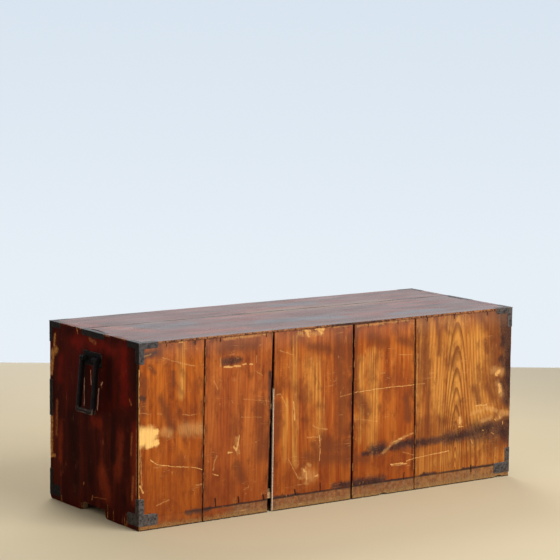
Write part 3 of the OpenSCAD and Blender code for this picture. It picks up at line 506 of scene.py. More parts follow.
def back_board_finish(number):
    """Oiled cedar with upright grain: streaks between two browns, dark late wood, the board's
    own stains, bare scratches and flakes, rubbed arrises, a scribed line and a weathered foot."""
    board = BACK_BOARDS[number]
    lively = board["lively"]
    f = Finish(f"oiled_cedar_{number}")
    u, y, z = f.less(X_OUT, f.x), f.y, f.z
    p = f.flat(u, z)
    broad = f.grain(p, (0.026, 0.0030), (number * 3.1, 0))
    streak = f.grain(p, (0.105, 0.0045), (0, number * 2.3), 4.0, 0.6)
    fibre = f.grain(p, (0.55, 0.018), rough=0.7)
    cloud = f.grain(p, (0.014, 0.009), (number, 5), 5.0, 0.62)
    patch = f.grain(p, (0.045, 0.022), (number, 8), 4.0, 0.6)
    vein = f.grain(p, (0.30, 0.0055), (number, 6), 2.0, 0.5)
    torn = f.grain(p, (0.42, 0.20), detail=4.0, rough=0.7)
    mottle = f.grain(p, (0.10, 0.085), (number * 1.7, 4), 5.0, 0.72)
    loose = f.shifted(p, (0.020, 0.010), (20, 22))
    frayed = f.shifted(f.flat(u, f.swayed(z, streak, 14.0)), (0.022, 0.02), (16, 12))
    close = f.shifted(p, (0.10, 0.07), (5, 5))
    late = f.rings(p, *board["rings"])

    def marks(kind, vector, *how):
        return f.strokes(vector, board.get(kind, ()), *how)

    # Grain and stains
    gold = f.times(marks("ochre", loose, 0.95, streak, 0.7), f.span(vein, 0.58, 0.40, 0.25, 1.0), 0.95)
    dark = f.times(marks("dark", frayed, 0.85, mottle, 0.9), f.span(torn, 0.35, 0.62, 1.0, 0.72))
    far_mottle = f.times(f.span(mottle, 0.50, 0.66), f.span(u, 990.0, 1050.0, 0.12, 0.85))
    grime = f.times(f.span(f.rim, 22.0, 0.0), f.span(patch, 0.38, 0.62, 0.12, 0.75))
    colour = f.laid(
        f.mix(f.span(f.scaled(streak, 0.7, broad), 0.66, 1.04), *board["browns"]),
        (gold, (0.68, 0.30, 0.058)),
        (f.times(late, board["ring_depth"]), (0.125, 0.024, 0.006)),
        (f.span(fibre, 0.36, 0.70, 0.0, 0.24 * lively), (0.13, 0.024, 0.006)),
        (f.span(streak, 0.50, 0.72, 0.0, 0.30 * lively), BURNT),
        (f.span(cloud, 0.47, 0.68, 0.0, 0.62), (0.15, 0.030, 0.009)),
        (f.span(patch, 0.52, 0.70, 0.0, 0.45), (0.10, 0.020, 0.007)),
        (f.span(z, 240.0, 60.0, 0.0, 0.50 * lively), (0.20, 0.034, 0.004)),
        (f.span(vein, 0.52, 0.66, 0.0, 0.26), BURNT),
        (far_mottle, (0.26, 0.058, 0.010)),
        (grime, (0.105, 0.020, 0.007)),
        (f.times(marks("mauve", loose, 1.0, mottle, 0.9), 0.78), (0.165, 0.042, 0.014)),
        (dark, f.mix(f.span(patch, 0.4, 0.6), SMOKE, (0.034, 0.016, 0.016))),
        (f.times(marks("soot", frayed, 1.0, mottle, 1.1), 0.45), SOOT),
        (f.span(z, 370.0, 425.0, 0.0, 0.15), (0.34, 0.24, 0.20)))

    # The weathered foot below its scribed line, and fine wear
    below = f.swayed(f.less(f.scaled(u, 0.004, 29.3), z), patch, 2.4)
    foot = f.times(f.span(below, -1.0, 2.0), f.span(streak, 0.3, 0.7, 0.50, 0.85),
                   f.span(u, 225.0, 275.0, 0.15, 1.0))
    sand = f.times(f.span(f.scaled(patch, 22.0, z), 29.0, 13.0), f.span(torn, 0.41, 0.55, 0.1, 0.9))
    scribed = f.times(f.span(f.math("ABSOLUTE", below), 0.8, 3.8, 1, 0), f.span(u, 100.0, 190.0, 0.1, 0.85),
                      f.span(cloud, 0.32, 0.50, 0.55, 1.0))
    faint = f.times(marks("faint", close, 0.9, mottle, 2.8, 22.0), f.span(fibre, 0.38, 0.62, 0.60, 0.26))
    fine = f.math("MAXIMUM", f.hairlines(p, (0.012, 0.10), 0.22, 0.55, 0.66),
                  f.hairlines(p, (0.09, 0.014), 0.25, 0.58, 0.68))
    specks = f.times(f.span(torn, 0.66, 0.73), f.span(broad, 0.42, 0.58))
    rubbed = f.times(f.span(f.scaled(torn, 3.0, f.rim), 4.0, 2.0), f.span(patch, 0.50, 0.62), 0.75)
    colour = f.laid(
        colour,
        (foot, f.mix(f.span(mottle, 0.40, 0.60), (0.275, 0.155, 0.070), (0.160, 0.072, 0.036))),
        (sand, f.mix(fibre, (0.42, 0.26, 0.085), (0.25, 0.13, 0.050))),
        (scribed, (0.030, 0.018, 0.016)),
        (faint, (0.66, 0.33, 0.105)),
        (f.times(f.math("MAXIMUM", fine, specks), 0.45), (0.62, 0.30, 0.10)),
        (f.span(f.scaled(torn, 1.2, f.rim), 3.2, 1.4, 0.0, 0.80), (0.070, 0.016, 0.009)),
        (rubbed, (0.56, 0.26, 0.085)))

    # A pale split edge, bare wood, nail stains, painted shade under the top's lip, and the sawn seams and
    # inner face
    seam = f.mix(f.span(torn, 0.4, 0.6), *board.get("seam", OPEN_SEAM))
    if board.get("pale_edge"):
        near_edge = f.span(u, 380.0, 376.0)
        split = f.times(f.span(f.rim, 1.7, 1.2), near_edge, f.span(f.scaled(torn, 20.0, z), 304.0, 296.0))
        split_tone = f.mix(f.span(torn, 0.35, 0.6), (0.98, 0.82, 0.66), (0.80, 0.58, 0.40))
        colour = f.laid(colour, (split, split_tone))
        split = f.times(f.span(f.scaled(patch, 3.0, y), Y_BACK - 3.8, Y_BACK - 2.6), near_edge,
                        f.span(f.scaled(patch, 20.0, z), 308.0, 296.0))
        seam = f.laid(seam, (split, f.mix(f.span(torn, 0.4, 0.6), (0.98, 0.84, 0.70), (0.85, 0.66, 0.48))))
    raw = f.times(marks("raw", close, 0.6, mottle, 2.6, 14.0), f.span(fibre, 0.70, 0.45, 0.6, 1.0))
    bare = marks("bare", close, 0.6, mottle, 2.6, 14.0)
    # Painted shade: the boards' top few millimetres, just under the top's lip, are darkened.
    shade_under_lip = f.times(f.span(f.scaled(mottle, 9.0, z), BACK_TOP + 1.5, BACK_TOP + 4.0),
                        f.span(torn, 0.40, 0.58, 0.9, 0.35))
    colour = f.laid(
        colour,
        (raw, (1.0, 0.60, 0.185)),
        (f.times(bare, f.span(torn, 0.66, 0.50, 0.40, 0.92)),
         f.mix(f.span(fibre, 0.35, 0.65), (0.84, 0.46, 0.140), (0.58, 0.25, 0.072))),
        (f.times(marks("nails", close, 0.6, torn, 0.8), 0.92), NEAR_BLACK),
        (f.span(f.scaled(torn, 3.0, z), 5.2, 3.0, 0.0, 0.9), (0.026, 0.014, 0.009)),
        (shade_under_lip, (0.060, 0.020, 0.011)),
        (f.span(y, Y_BACK - 1.5, Y_BACK - 2.3), seam),
        (f.span(y, Y_INSIDE + 1.2, Y_INSIDE + 0.4), f.mix(fibre, (0.26, 0.155, 0.08), (0.16, 0.09, 0.046))))
    relief = f.less(f.scaled(fibre, 0.7, f.times(late, 0.5)), bare)
    rough = f.span(f.scaled(bare, 0.4, cloud), 0.3, 0.9, 0.32, 0.60)
    return f.done(colour, rough, 0.12, relief, 0.00035, 0.9)


def iron_finish(name, black, edge_colour, rub=0.55, side_shade=0.0):
    """Blackened wrought iron: hammered dimples, rubbed grey edges and a trace of brown rust. The
    last argument paints shade: it darkens the faces that look sideways."""
    f = Finish(name)
    dimple = f.grain(f.whole, (0.13,) * 3, detail=2.0)
    grit = f.grain(f.whole, (0.8,) * 3, rough=0.7)
    rust = f.grain(f.whole, (0.06,) * 3, (4, 2, 7), 4.0, 0.65)
    patchy = f.grain(f.whole, (0.16,) * 3, (7, 1, 3), 4.0, 0.7)
    rubbed = f.times(f.span(f.rim, 1.2, 0.1), f.span(rust, 0.40, 0.62, 0.10, 1.0), rub)
    # Painted shade: the faces that look sideways are darkened by the last argument.
    sideways = f.span(f.math("ABSOLUTE", f.facing[0]), 0.6, 0.75, 0.0, side_shade)
    colour = f.laid(
        f.mix(f.span(grit, 0.35, 0.65), toned(black, 1.35), toned(black, 0.95)),
        (f.span(patchy, 0.44, 0.60), toned(black, 0.40)),
        (f.span(rust, 0.50, 0.76, 0.0, 0.6), (black[0] * 1.2, black[1] * 0.72, black[2] * 0.5)),
        (rubbed, edge_colour),
        (sideways, (0.010, 0.006, 0.005)))
    return f.done(colour, f.span(grit, 0.3, 0.7, 0.34, 0.56), 0.4, f.scaled(grit, 0.3, dimple), 0.0009, 0.8)


def raw_wood_finish(name, axis, brightness, shade_behind=False):
    """Bare browned cedar, its colour scaled by the brightness, its grain along the axis, and if asked
    painted shade, near black, on the faces that look back.
    """
    f = Finish(name)

    def along(across, lengthways):
        return [lengthways if k == axis else across for k in range(3)]

    broad = f.grain(f.whole, along(0.05, 0.004))
    streak = f.grain(f.whole, along(0.16, 0.006))
    fibre = f.grain(f.whole, along(0.5, 0.012), detail=2.0, rough=0.7)
    pale, deep = toned((0.52, 0.335, 0.18), brightness), toned((0.36, 0.215, 0.11), brightness)
    # Painted shade: where asked, the faces that look back, into the dark inside the case, are laid near
    # black.
    soot = f.mix(f.span(broad, 0.4, 0.6), (0.006, 0.0025, 0.002), (0.012, 0.005, 0.003))
    colour = f.laid(
        f.mix(f.span(broad, 0.3, 0.7), pale, deep),
        (f.span(streak, 0.45, 0.7, 0.0, 0.5), toned(deep, 0.7)),
        (f.span(fibre, 0.4, 0.8, 0.0, 0.35), toned(deep, 0.6)),
        (f.span(f.facing[1], 0.4, 0.7, 0.0, float(shade_behind)), soot))
    return f.done(colour, f.span(fibre, 0.2, 0.8, 0.6, 0.8), 0.25, fibre, 0.0003, 0.6)


# Marks of the lacquer, as the back's. On the sides the lengths run from the back and from the
# floor, and on the top from the right side and from the back.
SIDE_RED = [
    (352, 345, 358, 300, 26), (290, 394, 60, 402, 26), (74, 392, 60, 296, 42), (77, 210, 89, 118, 28),
    (164, 106, 140, 62, 36), (14, 235, 18, 70, 26), (352, 187, 356, 104, 20), (205, 232, 176, 220, 22),
    (210, 380, 190, 330, 26)]
SIDE_DARK = [
    (12, 425, 12, 330, 18), (127, 377, 134, 290, 26), (298, 217, 278, 49, 40), (323, 416, 297, 413, 22),
    (108, 247, 115, 147, 20), (60, 60, 30, 20, 20), (390, 300, 385, 230, 22), (215, 190, 220, 80, 26)]
SIDE_OCHRE = [
    (374, 364, 393, 352, 13), (392, 346, 398, 306, 10), (380, 398, 384, 374, 6), (397, 204, 398, 110, 9),
    (382, 108, 400, 104, 6), (277, 429, 272, 415, 2.4), (246, 66, 246, 62, 2.6), (137, 33, 137, 3, 1.6),
    (112, 24, 110, 4, 1.5), (63, 21, 60, 1, 1.7), (53, 16, 52, 1, 1.3), (352, 15, 350, 3, 2),
    (205, 44, 208, 34, 1.8)]
SIDE_PINK = [
    (176, 300, 183, 250, 2.6), (160, 317, 167, 310, 3), (214, 338, 211, 304, 1.5), (242, 315, 244, 250, 1.6)]
SIDE_RUBBED = [
    (217, 410, 191, 404, 8), (166, 316, 165, 305, 4), (40, 295, 33, 286, 5), (202, 41, 144, 47, 1.6),
    (6, 380, 6, 60, 4), (8, 230, 10, 84, 8), (371, 240, 374, 160, 9), (24, 120, 30, 70, 8),
    (30, 220, 34, 170, 6)]
TOP_HAZE = [
    (150, 195, 240, 190, 60), (420, 120, 620, 100, 50), (760, 60, 900, 60, 40), (600, 330, 700, 320, 30)]
TOP_RED = [
    (30, 300, 110, 150, 40), (180, 60, 330, 70, 26), (860, 200, 960, 205, 16), (480, 290, 640, 285, 14),
    (330, 230, 480, 228, 10)]
TOP_BROWN = [(470, SEAM_V - 4, 900, SEAM_V - 2, 44), (160, SEAM_V - 3, 420, SEAM_V, 14)]
TOP_SEAMS = [(-10, SEAM_V, 1101, SEAM_V, 4.5), (77, 287, 134, 278, 1.4), (134, 278, 240, 258, 1.4)]


def side_lacquer(f, chafe, torn):
    """The sides: near black with a red glow, ochre wood where it is rubbed, and pale pink lines by
    the bail, partly scratches and partly painted reflection of its legs.
    Gives the colour and the fibre noise."""
    p = f.flat(f.less(Y_BACK, f.y), f.z)
    loose = f.shifted(f.shifted(p, (0.022, 0.009), (22, 34)), (0.16, 0.03), (5, 12))
    close = f.shifted(p, (0.10, 0.07), (5, 5))
    broad = f.grain(p, (0.032, 0.0040))
    streak = f.grain(p, (0.20, 0.009), (3, 1), rough=0.65)
    fibre = f.grain(p, (0.8, 0.03), detail=2.0, rough=0.7)
    glow = f.math("ADD", f.times(f.strokes(loose, SIDE_RED, 1.0, chafe, 1.2), 0.50),
                  f.span(f.scaled(streak, 0.35, broad), 0.60, 0.92, 0.0, 0.28))
    rubbed = f.times(f.strokes(close, SIDE_RUBBED, 0.8, torn, 1.4), f.span(torn, 0.38, 0.6, 0.05, 0.75))
    ochre = f.times(f.strokes(close, SIDE_OCHRE, 0.8, torn, 3.0, 14.0), f.span(torn, 0.62, 0.44, 0.35, 1.0))
    colour = f.laid(
        (0.056, 0.0046, 0.0014),
        (glow, f.mix(f.span(f.z, 150.0, 280.0), (0.34, 0.036, 0.005), (0.27, 0.008, 0.0012))),
        (f.times(f.strokes(loose, SIDE_DARK, 1.0, chafe, 1.0), 0.62), (0.016, 0.0028, 0.0022)),
        (f.span(fibre, 0.42, 0.75, 0.0, 0.35), (0.010, 0.002, 0.0015)),
        (f.times(f.hairlines(p, (0.10, 0.012), 0.12, 0.56, 0.66), 0.3), (0.50, 0.13, 0.05)),
        (rubbed, (0.50, 0.135, 0.035)),
        (ochre, (0.58, 0.235, 0.052)),
        # Pale pink lines by the bail: partly scratches, partly painted reflection of its legs in the lacquer.
        (f.times(f.strokes(close, SIDE_PINK, 0.8, torn, 2.4), 0.8), (0.95, 0.48, 0.33)))
    return colour, fibre


def top_lacquer(f, p, cloud, torn):
    """The top: red-brown under a grey bloom, paler pinkish grey along its back edge, with a brown
    streak beside the dark seam of its two planks."""
    loose = f.shifted(p, (0.006, 0.03), (60, 14))
    broad = f.grain(p, (0.0035, 0.035), detail=4.0, rough=0.6)
    streak = f.grain(p, (0.006, 0.15))
    browned = f.strokes(f.shifted(p, (0.01, 0.1), (0, 8)), TOP_BROWN, 1.0, cloud, 0.8)
    return f.laid(
        f.mix(f.span(f.scaled(streak, 0.6, broad), 0.6, 1.02), (0.20, 0.040, 0.022), (0.070, 0.026, 0.021)),
        (f.times(f.strokes(loose, TOP_HAZE, 1.0, cloud, 1.4), 0.8), (0.085, 0.085, 0.100)),
        (f.span(f.scaled(cloud, -60.0, f.less(Y_BACK, f.y)), 20.0, -34.0, 0.0, 0.6), (0.17, 0.135, 0.130)),
        (f.times(f.strokes(loose, TOP_RED, 1.0, cloud, 1.6), 0.6), (0.32, 0.068, 0.030)),
        (f.times(f.hairlines(p, (0.006, 0.03), 0.05, 0.52, 0.62), 0.35), (0.018, 0.008, 0.006)),
        (f.times(browned, 0.75), (0.25, 0.120, 0.055)),
        (f.strokes(f.shifted(p, (0.02, 0.1), (0, 3)), TOP_SEAMS, 0.5, torn, 0.6), NEAR_BLACK))


def front_lacquer(f):
    """The front: red-brown streaks along the boards, over dark fibres and growth rings."""
    p = f.flat(f.x, f.z)
    broad = f.grain(p, (0.0028, 0.022), rough=0.5)
    streak = f.grain(p, (0.005, 0.12))
    fibre = f.grain(p, (0.015, 0.7), detail=2.0, rough=0.7)
    grown = f.rings(f.flat(f.z, f.x), 120.0, 60.0, 0.06, 6.0, 9.0)
    return f.laid(
        f.mix(f.span(f.scaled(streak, 0.6, broad), 0.6, 1.02), (0.20, 0.036, 0.012), (0.050, 0.011, 0.006)),
        (f.span(fibre, 0.4, 0.8, 0.0, 0.45), (0.012, 0.004, 0.003)),
        (f.times(grown, 0.6), (0.030, 0.006, 0.003)))


def lacquer_finish(name):
    """Dark red-brown lacquer over the outer faces, each face with its own grain and wear, a
    patchy lip behind with a painted shadow line along a stretch of it, worn arrises, and bare wood inside the
    case."""
    f = Finish(name)
    chafe = f.grain(f.whole, (0.045,) * 3, detail=5.0, rough=0.65)
    torn = f.grain(f.whole, (0.30, 0.30, 0.20), detail=4.0, rough=0.7)
    top_p = f.flat(f.less(X_OUT, f.x), f.less(Y_BACK, f.y))
    cloud = f.grain(top_p, (0.008, 0.02), (2, 9), 4.0, 0.6)
    side, fibre = side_lacquer(f, chafe, torn)

    upward = f.span(f.facing[2], 0.60, 0.75)
    sideways = f.span(f.math("ABSOLUTE", f.facing[0]), 0.60, 0.75)
    # Painted shadow: a dark line on the lip above the fourth back board, where the boards' tops sit a little
    # lower than the top.
    lip_shadow_middle = X_OUT - 590
    lip_shadow = f.span(f.off(f.scaled(torn, 40.0, f.x), lip_shadow_middle), 90.0, 60.0, 0.0, 0.9)
    lip = f.laid(f.mix(f.span(torn, 0.42, 0.58), (0.34, 0.13, 0.05), (0.050, 0.014, 0.008)),
                 (lip_shadow, (0.030, 0.016, 0.016)))
    worn = f.times(
        f.span(f.scaled(torn, 3.0, f.rim), 4.0, 2.2), f.span(chafe, 0.44, 0.62),
        f.span(f.facing[1], -0.6, -0.2, 0.22, 0.75), f.span(f.off(f.y, TOP_SEAM), 3.0, 6.0),
        f.scaled(lip_shadow, f.span(f.y, Y_BACK - 12, Y_BACK - 9, 0.0, -0.85), 1.0))
    inner = f.times(
        f.span(f.math("ABSOLUTE", f.x), X_OUT - 4, X_OUT - 6), f.span(f.y, Y_FRONT + 4, Y_FRONT + 6),
        f.span(f.y, Y_BACK - 3, Y_BACK - 5), f.span(f.z, TOP - 3, TOP - 5))
    raw_grain = f.mix(sideways, f.grain(top_p, (0.012, 0.2)), fibre)
    colour = f.laid(
        front_lacquer(f),
        (f.span(f.facing[1], 0.5, 0.7), lip),
        (sideways, side),
        (upward, top_lacquer(f, top_p, cloud, torn)),
        (worn, (0.42, 0.17, 0.055)),
        (inner, f.mix(raw_grain, (0.40, 0.255, 0.14), (0.22, 0.13, 0.068))))
    relief = f.scaled(fibre, 0.5, f.times(f.mix(upward, chafe, cloud), 0.8))
    rough = f.mix(upward, f.scaled(chafe, 0.35, 0.22), f.scaled(cloud, 0.22, 0.14))
    return f.done(colour, f.scaled(inner, 0.4, rough), 0.10, relief, 0.0003, 0.4)


# The last number of each iron below is painted shade on its faces that look sideways.
IRON = iron_finish("wrought_iron", (0.068, 0.061, 0.060), (0.18, 0.165, 0.15), 0.55, 0.80)
FOOT_IRON = iron_finish("foot_iron", (0.100, 0.082, 0.073), (0.24, 0.195, 0.16), 0.6, 0.30)
# A paler copy of the iron, for the irons at the left back corners.
PALER_IRON = iron_finish("paler_iron", (0.088, 0.073, 0.067), (0.26, 0.21, 0.17), 0.6, 0.60)
BAIL_IRON = iron_finish("bail_iron", (0.012, 0.009, 0.010), (0.24, 0.15, 0.11), 0.75)
# A darker copy of the foot iron for the front foot corners: painted shade.
SHADED_FOOT_IRON = iron_finish("shaded_front_foot_iron", (0.050, 0.043, 0.041), (0.14, 0.12, 0.11), 0.55, 0.78)
NAIL = iron_finish("nail_iron", (0.034, 0.027, 0.025), (0.10, 0.08, 0.07))
PALE_ACROSS = raw_wood_finish("bare_wood_across", 0, 0.95)
# A darker copy of the bare wood with painted shade behind, for the drawer backs inside the case.
SHADED_ACROSS = raw_wood_finish("shaded_wood_across", 0, 0.75, True)
# A lighter copy of the bare wood for the rear bottom board: painted light on its edge, which lies in the
# shade of the gap.
LIT_BOTTOM_WOOD = raw_wood_finish("lit_bottom_wood", 0, 1.4)
PALE_DEEP = raw_wood_finish("bare_wood_deep", 1, 0.85)
LACQUER = lacquer_finish("red_brown_lacquer")


# Boards

FOOT_CHIPS = ((251, 258, 3), (680, 703, 4.5), (1044, 1067, 4))


def foot_line(u):
    """Height of the boards' ragged lower edge: three chips, and small splinters between them."""
    z = np.zeros(u.shape)
    for start, end, height in FOOT_CHIPS:
        rise = np.clip((u - start) / (1.5 * height), 0, 1) * np.clip((end - u) / (0.6 * height), 0, 1)
        z = np.maximum(z, height * rise)
    coarse = np.clip(ripple(u, 0 * u, 5, 26) - 0.55, 0, 1) * 1.6
    return np.maximum(z, coarse + np.clip(ripple(u, 0 * u, 6, 7) - 0.4, 0, 1))


def back_board(number):
    """A cedar board: a grid leaning with its sawn edges, waved by a hair, cupped a little
    between its edges, with rounded arrises worn deeper in places and a ragged foot."""
    near_top, near_foot, far_top, far_foot = BACK_BOARDS[number]["edges"]
    width = far_top - near_top

    def place(u, v, w):
        up = v / BACK_TOP
        near = near_foot + (near_top - near_foot) * up
        far = far_foot + (far_top - far_foot) * up
        wander = 0.2 * ripple(v, 0 * v, number * 7, 90) - 0.2
        pull = np.where(u < width / 2, -1, 1) * np.exp(-np.minimum(u, width - u) / 8) * np.minimum(wander, 0)
        outer_edge = (number == 1) & (u < 1) | (number == 5) & (u > width - 1)
        sideways = near + (far - near) * u / width + np.where(outer_edge, 0, pull)
        return X_OUT - sideways, Y_BACK + w, lifted(v, foot_line(sideways))

    def edge(u, v):
        return np.minimum.reduce([u, width - u, v + 0.4, BACK_TOP + 1.5 - v])

    def outer(u, v):
        deeper = np.clip(ripple(u, v, number + 20, 130), 0, 1)
        radius = np.clip(1.2 + 0.5 * ripple(u * 0.3, v, number, 60) + deeper, 0.5, 4)
        cup = 0.25 * (1 - np.cos(6.28 * u / width)) / 2
        waved = 0.12 * (1 + ripple(u, v * 0.25, number + 40, 45))
        return -rounded(edge(u, v), radius) - np.clip(waved + cup, 0, 1)

    def inner(u, v):
        return np.full(u.shape, Y_INSIDE - Y_BACK)

    shape = sheet(place, lines(0, width, 5.5), lines(0, BACK_TOP, 6), edge, outer, inner)
    finish = back_board_finish(number)
    to_mesh(f"cedar_back_{number}", shape, finish, "case", f"back_board_{number}")


def finger_place(y):
    return np.floor((y - Y_FRONT) / FINGER_W).astype(int)


def top_plank(end, y_low, y_high):
    """A top plank along the width: it lies waved by a hair, has fingers at the even places of
    its ends, a thin lip over the back boards, seats for the irons, and worn outer arrises."""
    seat_x = [side * (X_OUT - reach) for side in (-1, 1) for reach in (ARM_W, ARM_L)]
    seat_y = [Y_FRONT + ARM_W, Y_FRONT + ARM_L, Y_BACK - ARM_W, Y_BACK - ARM_L, Y_MID - ARM_L, Y_MID + ARM_L]
    stops = [stop for stop in seat_y + FINGER_Y + [Y_INSIDE] if y_low + 1 < stop < y_high - 1]

    def kept(x, y):
        return (np.abs(x) < X_IN) | (finger_place(y) % 2 == 0) | (y > Y_INSIDE)

    def edge(x, y):
        return np.minimum.reduce([X_OUT - np.abs(x), np.abs(y - y_low), np.abs(y_high - y)])

    def seated(x, y):
        from_side, from_end = X_OUT - np.abs(x), np.minimum(Y_BACK - y, y - Y_FRONT)
        along_side = (from_side < ARM_W) & ((from_end < ARM_L) | (np.abs(y - Y_MID) < ARM_L))
        return along_side | (from_side < ARM_L) & (from_end < ARM_W)

    def outer(x, y):
        worn = rounded(edge(x, y), uneven(x, y, 1.4, 0.8, 3, 70, 0.5, 3))
        return np.where(seated(x, y), -IRON_T - 0.05, -worn - wave(x * 0.3, y, 9))

    def inner(x, y):
        return np.where(y > Y_INSIDE, BACK_TOP, UNDER_TOP) - TOP

    def place(x, y, w):
        return x, y, TOP + w

    xs = lines(-X_OUT, X_OUT, 9, seat_x + [-X_IN, X_IN])
    shape = sheet(place, xs, lines(y_low, y_high, 6, stops), edge, outer, inner, kept)
    to_mesh(f"top_plank_{end}", shape, LACQUER, "case", f"top_board_{end}")


NOTCH_HALF, NOTCH_TOP, NOTCH_R, FLARE_R, TOE_R = 56, 20, 10, 6, 9


def notch_line(y):
    """Height of a side panel's lower edge: the hand notch with rounded corners above and flares
    at the floor, and the worn toe at the front."""
    t = np.abs(y - Y_MID)
    shoulder = NOTCH_TOP - rounded(NOTCH_HALF - t, NOTCH_R)
    z = np.where(t < NOTCH_HALF, shoulder, rounded(t - NOTCH_HALF, FLARE_R))
    z = np.where(y - Y_FRONT < TOE_R, rounded(y - Y_FRONT, TOE_R), z)
    return z + np.where(t > 60, np.clip(ripple(y, 0 * y, 8, 9) - 0.5, 0, 1) * 1.5, 0)


def side_panel(side, side_name):
    """A side panel: fingers at the odd places of its top, the hand notch and toe below, grooves
    for the shelf and bottom inside, and an outer face waved by a hair with worn arrises."""
    bends = (46, 47.5, 49.5, 52, 54, 55.2, 57.5, 59.5)
    notch = [Y_MID + end * reach for end in (-1, 1) for reach in bends]
    steps = FINGER_Y + [Y_MID - NOTCH_HALF, Y_MID + NOTCH_HALF, Y_MID - ARM_L, Y_MID + ARM_L]
    steps += [Y_MID + end * (TIP_Y + reach) for end in (-1, 1) for reach in (-TIP_HALF_W, TIP_HALF_W)]
    heights = [BOTTOM_LOW, BOTTOM_HIGH, SHELF_LOW, SHELF_HIGH, UNDER_TOP]
    heights += [PIVOT_Z - TIP_HALF_L, PIVOT_Z + TIP_HALF_L]
    ys = np.unique(np.concatenate([lines(Y_FRONT, Y_INSIDE, 6.5, steps), notch]))

    def kept(y, z):
        return (z < UNDER_TOP) | (finger_place(y) % 2 == 1)

    def edge(y, z):
        above_foot = np.where(z < FOOT_H, z * (FOOT_H - notch_line(y)) / FOOT_H, FOOT_H)
        return np.minimum.reduce([np.abs(y - Y_FRONT), above_foot, TOP - z])

    def outer(y, z):
        worn = rounded(edge(y, z), uneven(y, z, 1.6, 0.9, 13 + side, 60, 0.5, 3.5))
        return -worn - wave(y, z * 0.3, 19 + side)

    def inner(y, z):
        groove = ((z > BOTTOM_LOW) & (z < BOTTOM_HIGH)) | ((z > SHELF_LOW) & (z < SHELF_HIGH))
        tips = (np.abs(np.abs(y - Y_MID) - TIP_Y) < TIP_HALF_W) & (np.abs(z - PIVOT_Z) < TIP_HALF_L)
        return X_IN - X_OUT + groove * (GROOVE_X - X_IN) + tips * TIP_DEPTH

    def place(y, z, w):
        at_top = z > TOP - 0.02
        strap_seat = np.where((np.abs(y - Y_MID) < ARM_L) & at_top, IRON_T, 0)
        return side * (X_OUT + w), y, lifted(z, notch_line(y)) - strap_seat

    shape = sheet(place, ys, lines(0, TOP, 6.5, heights), edge, outer, inner, kept)
    to_mesh(f"end_panel_{side_name}", shape, LACQUER, "case", f"side_panel_{side_name}")


def front_board(name, node, body, wear, step, stops=((), ()), ends=False, kept=everywhere, face=nothing,
                hollow=nothing, shown=everywhere):
    """A board seen from the front, over a grid of x and z. Where it is shown, its arrises, the
    two ends among them if asked, are rounded by an uneven radius, whose values the wear holds.
    The face dips by its own waves, and the inner side is taken out by the hollow. The stops are
    the places of steps along x and along z."""
    low, high = box_mm(node)

    def edge(x, z):
        return np.minimum.reduce([z - low.z, high.z - z] + [x - low.x, high.x - x] * ends)

    def outer(x, z):
        return -rounded(edge(x, z), uneven(x, z, *wear)) * shown(x, z) - face(x, z)

    def inner(x, z):
        return low.y - high.y + hollow(x, z)

    def place(x, z, w):
        return x, low.y - w, z

    xs, zs = lines(low.x, high.x, 9, stops[0]), lines(low.z, high.z, step, stops[1])
    shape = sheet(place, xs, zs, edge, outer, inner, kept)
    to_mesh(name, shape, LACQUER, body, node)


def drawer_front(bay):
    """A drawer front, waved by a hair, rebated behind for the drawer's sides and bottom."""
    node = f"{bay}_drawer_front"
    low, high = box_mm(node)
    side_w, bottom_h, lap = 11, 7, 8.0

    def face(x, z):
        return wave(x * 0.3, z, 29)

    def hollow(x, z):
        rebate = (np.abs(x) > high.x - side_w) | (z < low.z + bottom_h)
        return rebate * (high.y - low.y - lap)

    stops = ([low.x + side_w, high.x - side_w], [low.z + bottom_h])
    front_board(f"{bay}_front_panel", node, f"{bay}_drawer", (1.9, 0.8, 23, 80, 0.8, 3.2), 6, stops, True,
                face=face, hollow=hollow)


def front_rail():
    """The middle rail, whose upper part is housed in the side panels, grooved behind for the
    shelf's tongue."""
    tongue, tongue_half, tongue_l = (SHELF_LOW + SHELF_HIGH) / 2, 2, 6.0

    def shown(x, z):
        return np.abs(x) < X_IN

    def kept(x, z):
        return shown(x, z) | (z > SHELF_LOW)

    def hollow(x, z):
        return tongue_l * (np.abs(z - tongue) < tongue_half)

    stops = ([-X_IN, X_IN], [SHELF_LOW, tongue - tongue_half, tongue + tongue_half])
    front_board("rail_board", "middle_rail", "case", (1.4, 0.6, 31, 70, 0.5, 2.5), 4, stops, kept=kept,
                hollow=hollow, shown=shown)


for number in BACK_BOARDS:
    back_board(number)
top_plank("front", Y_FRONT, TOP_SEAM)
top_plank("rear", TOP_SEAM, Y_BACK)
for side, side_name in SIDES:
    side_panel(side, side_name)
for bay in ("upper", "lower"):
    drawer_front(bay)
front_rail()
front_board("bottom_plank", "bottom_board_front", "case", (1.3, 0.6, 33, 70, 0.5, 2.5), 4)
front_board("skirt_plank", "front_skirt", "case", (1.8, 0.8, 37, 70, 0.5, 3.2), 5)


# Irons


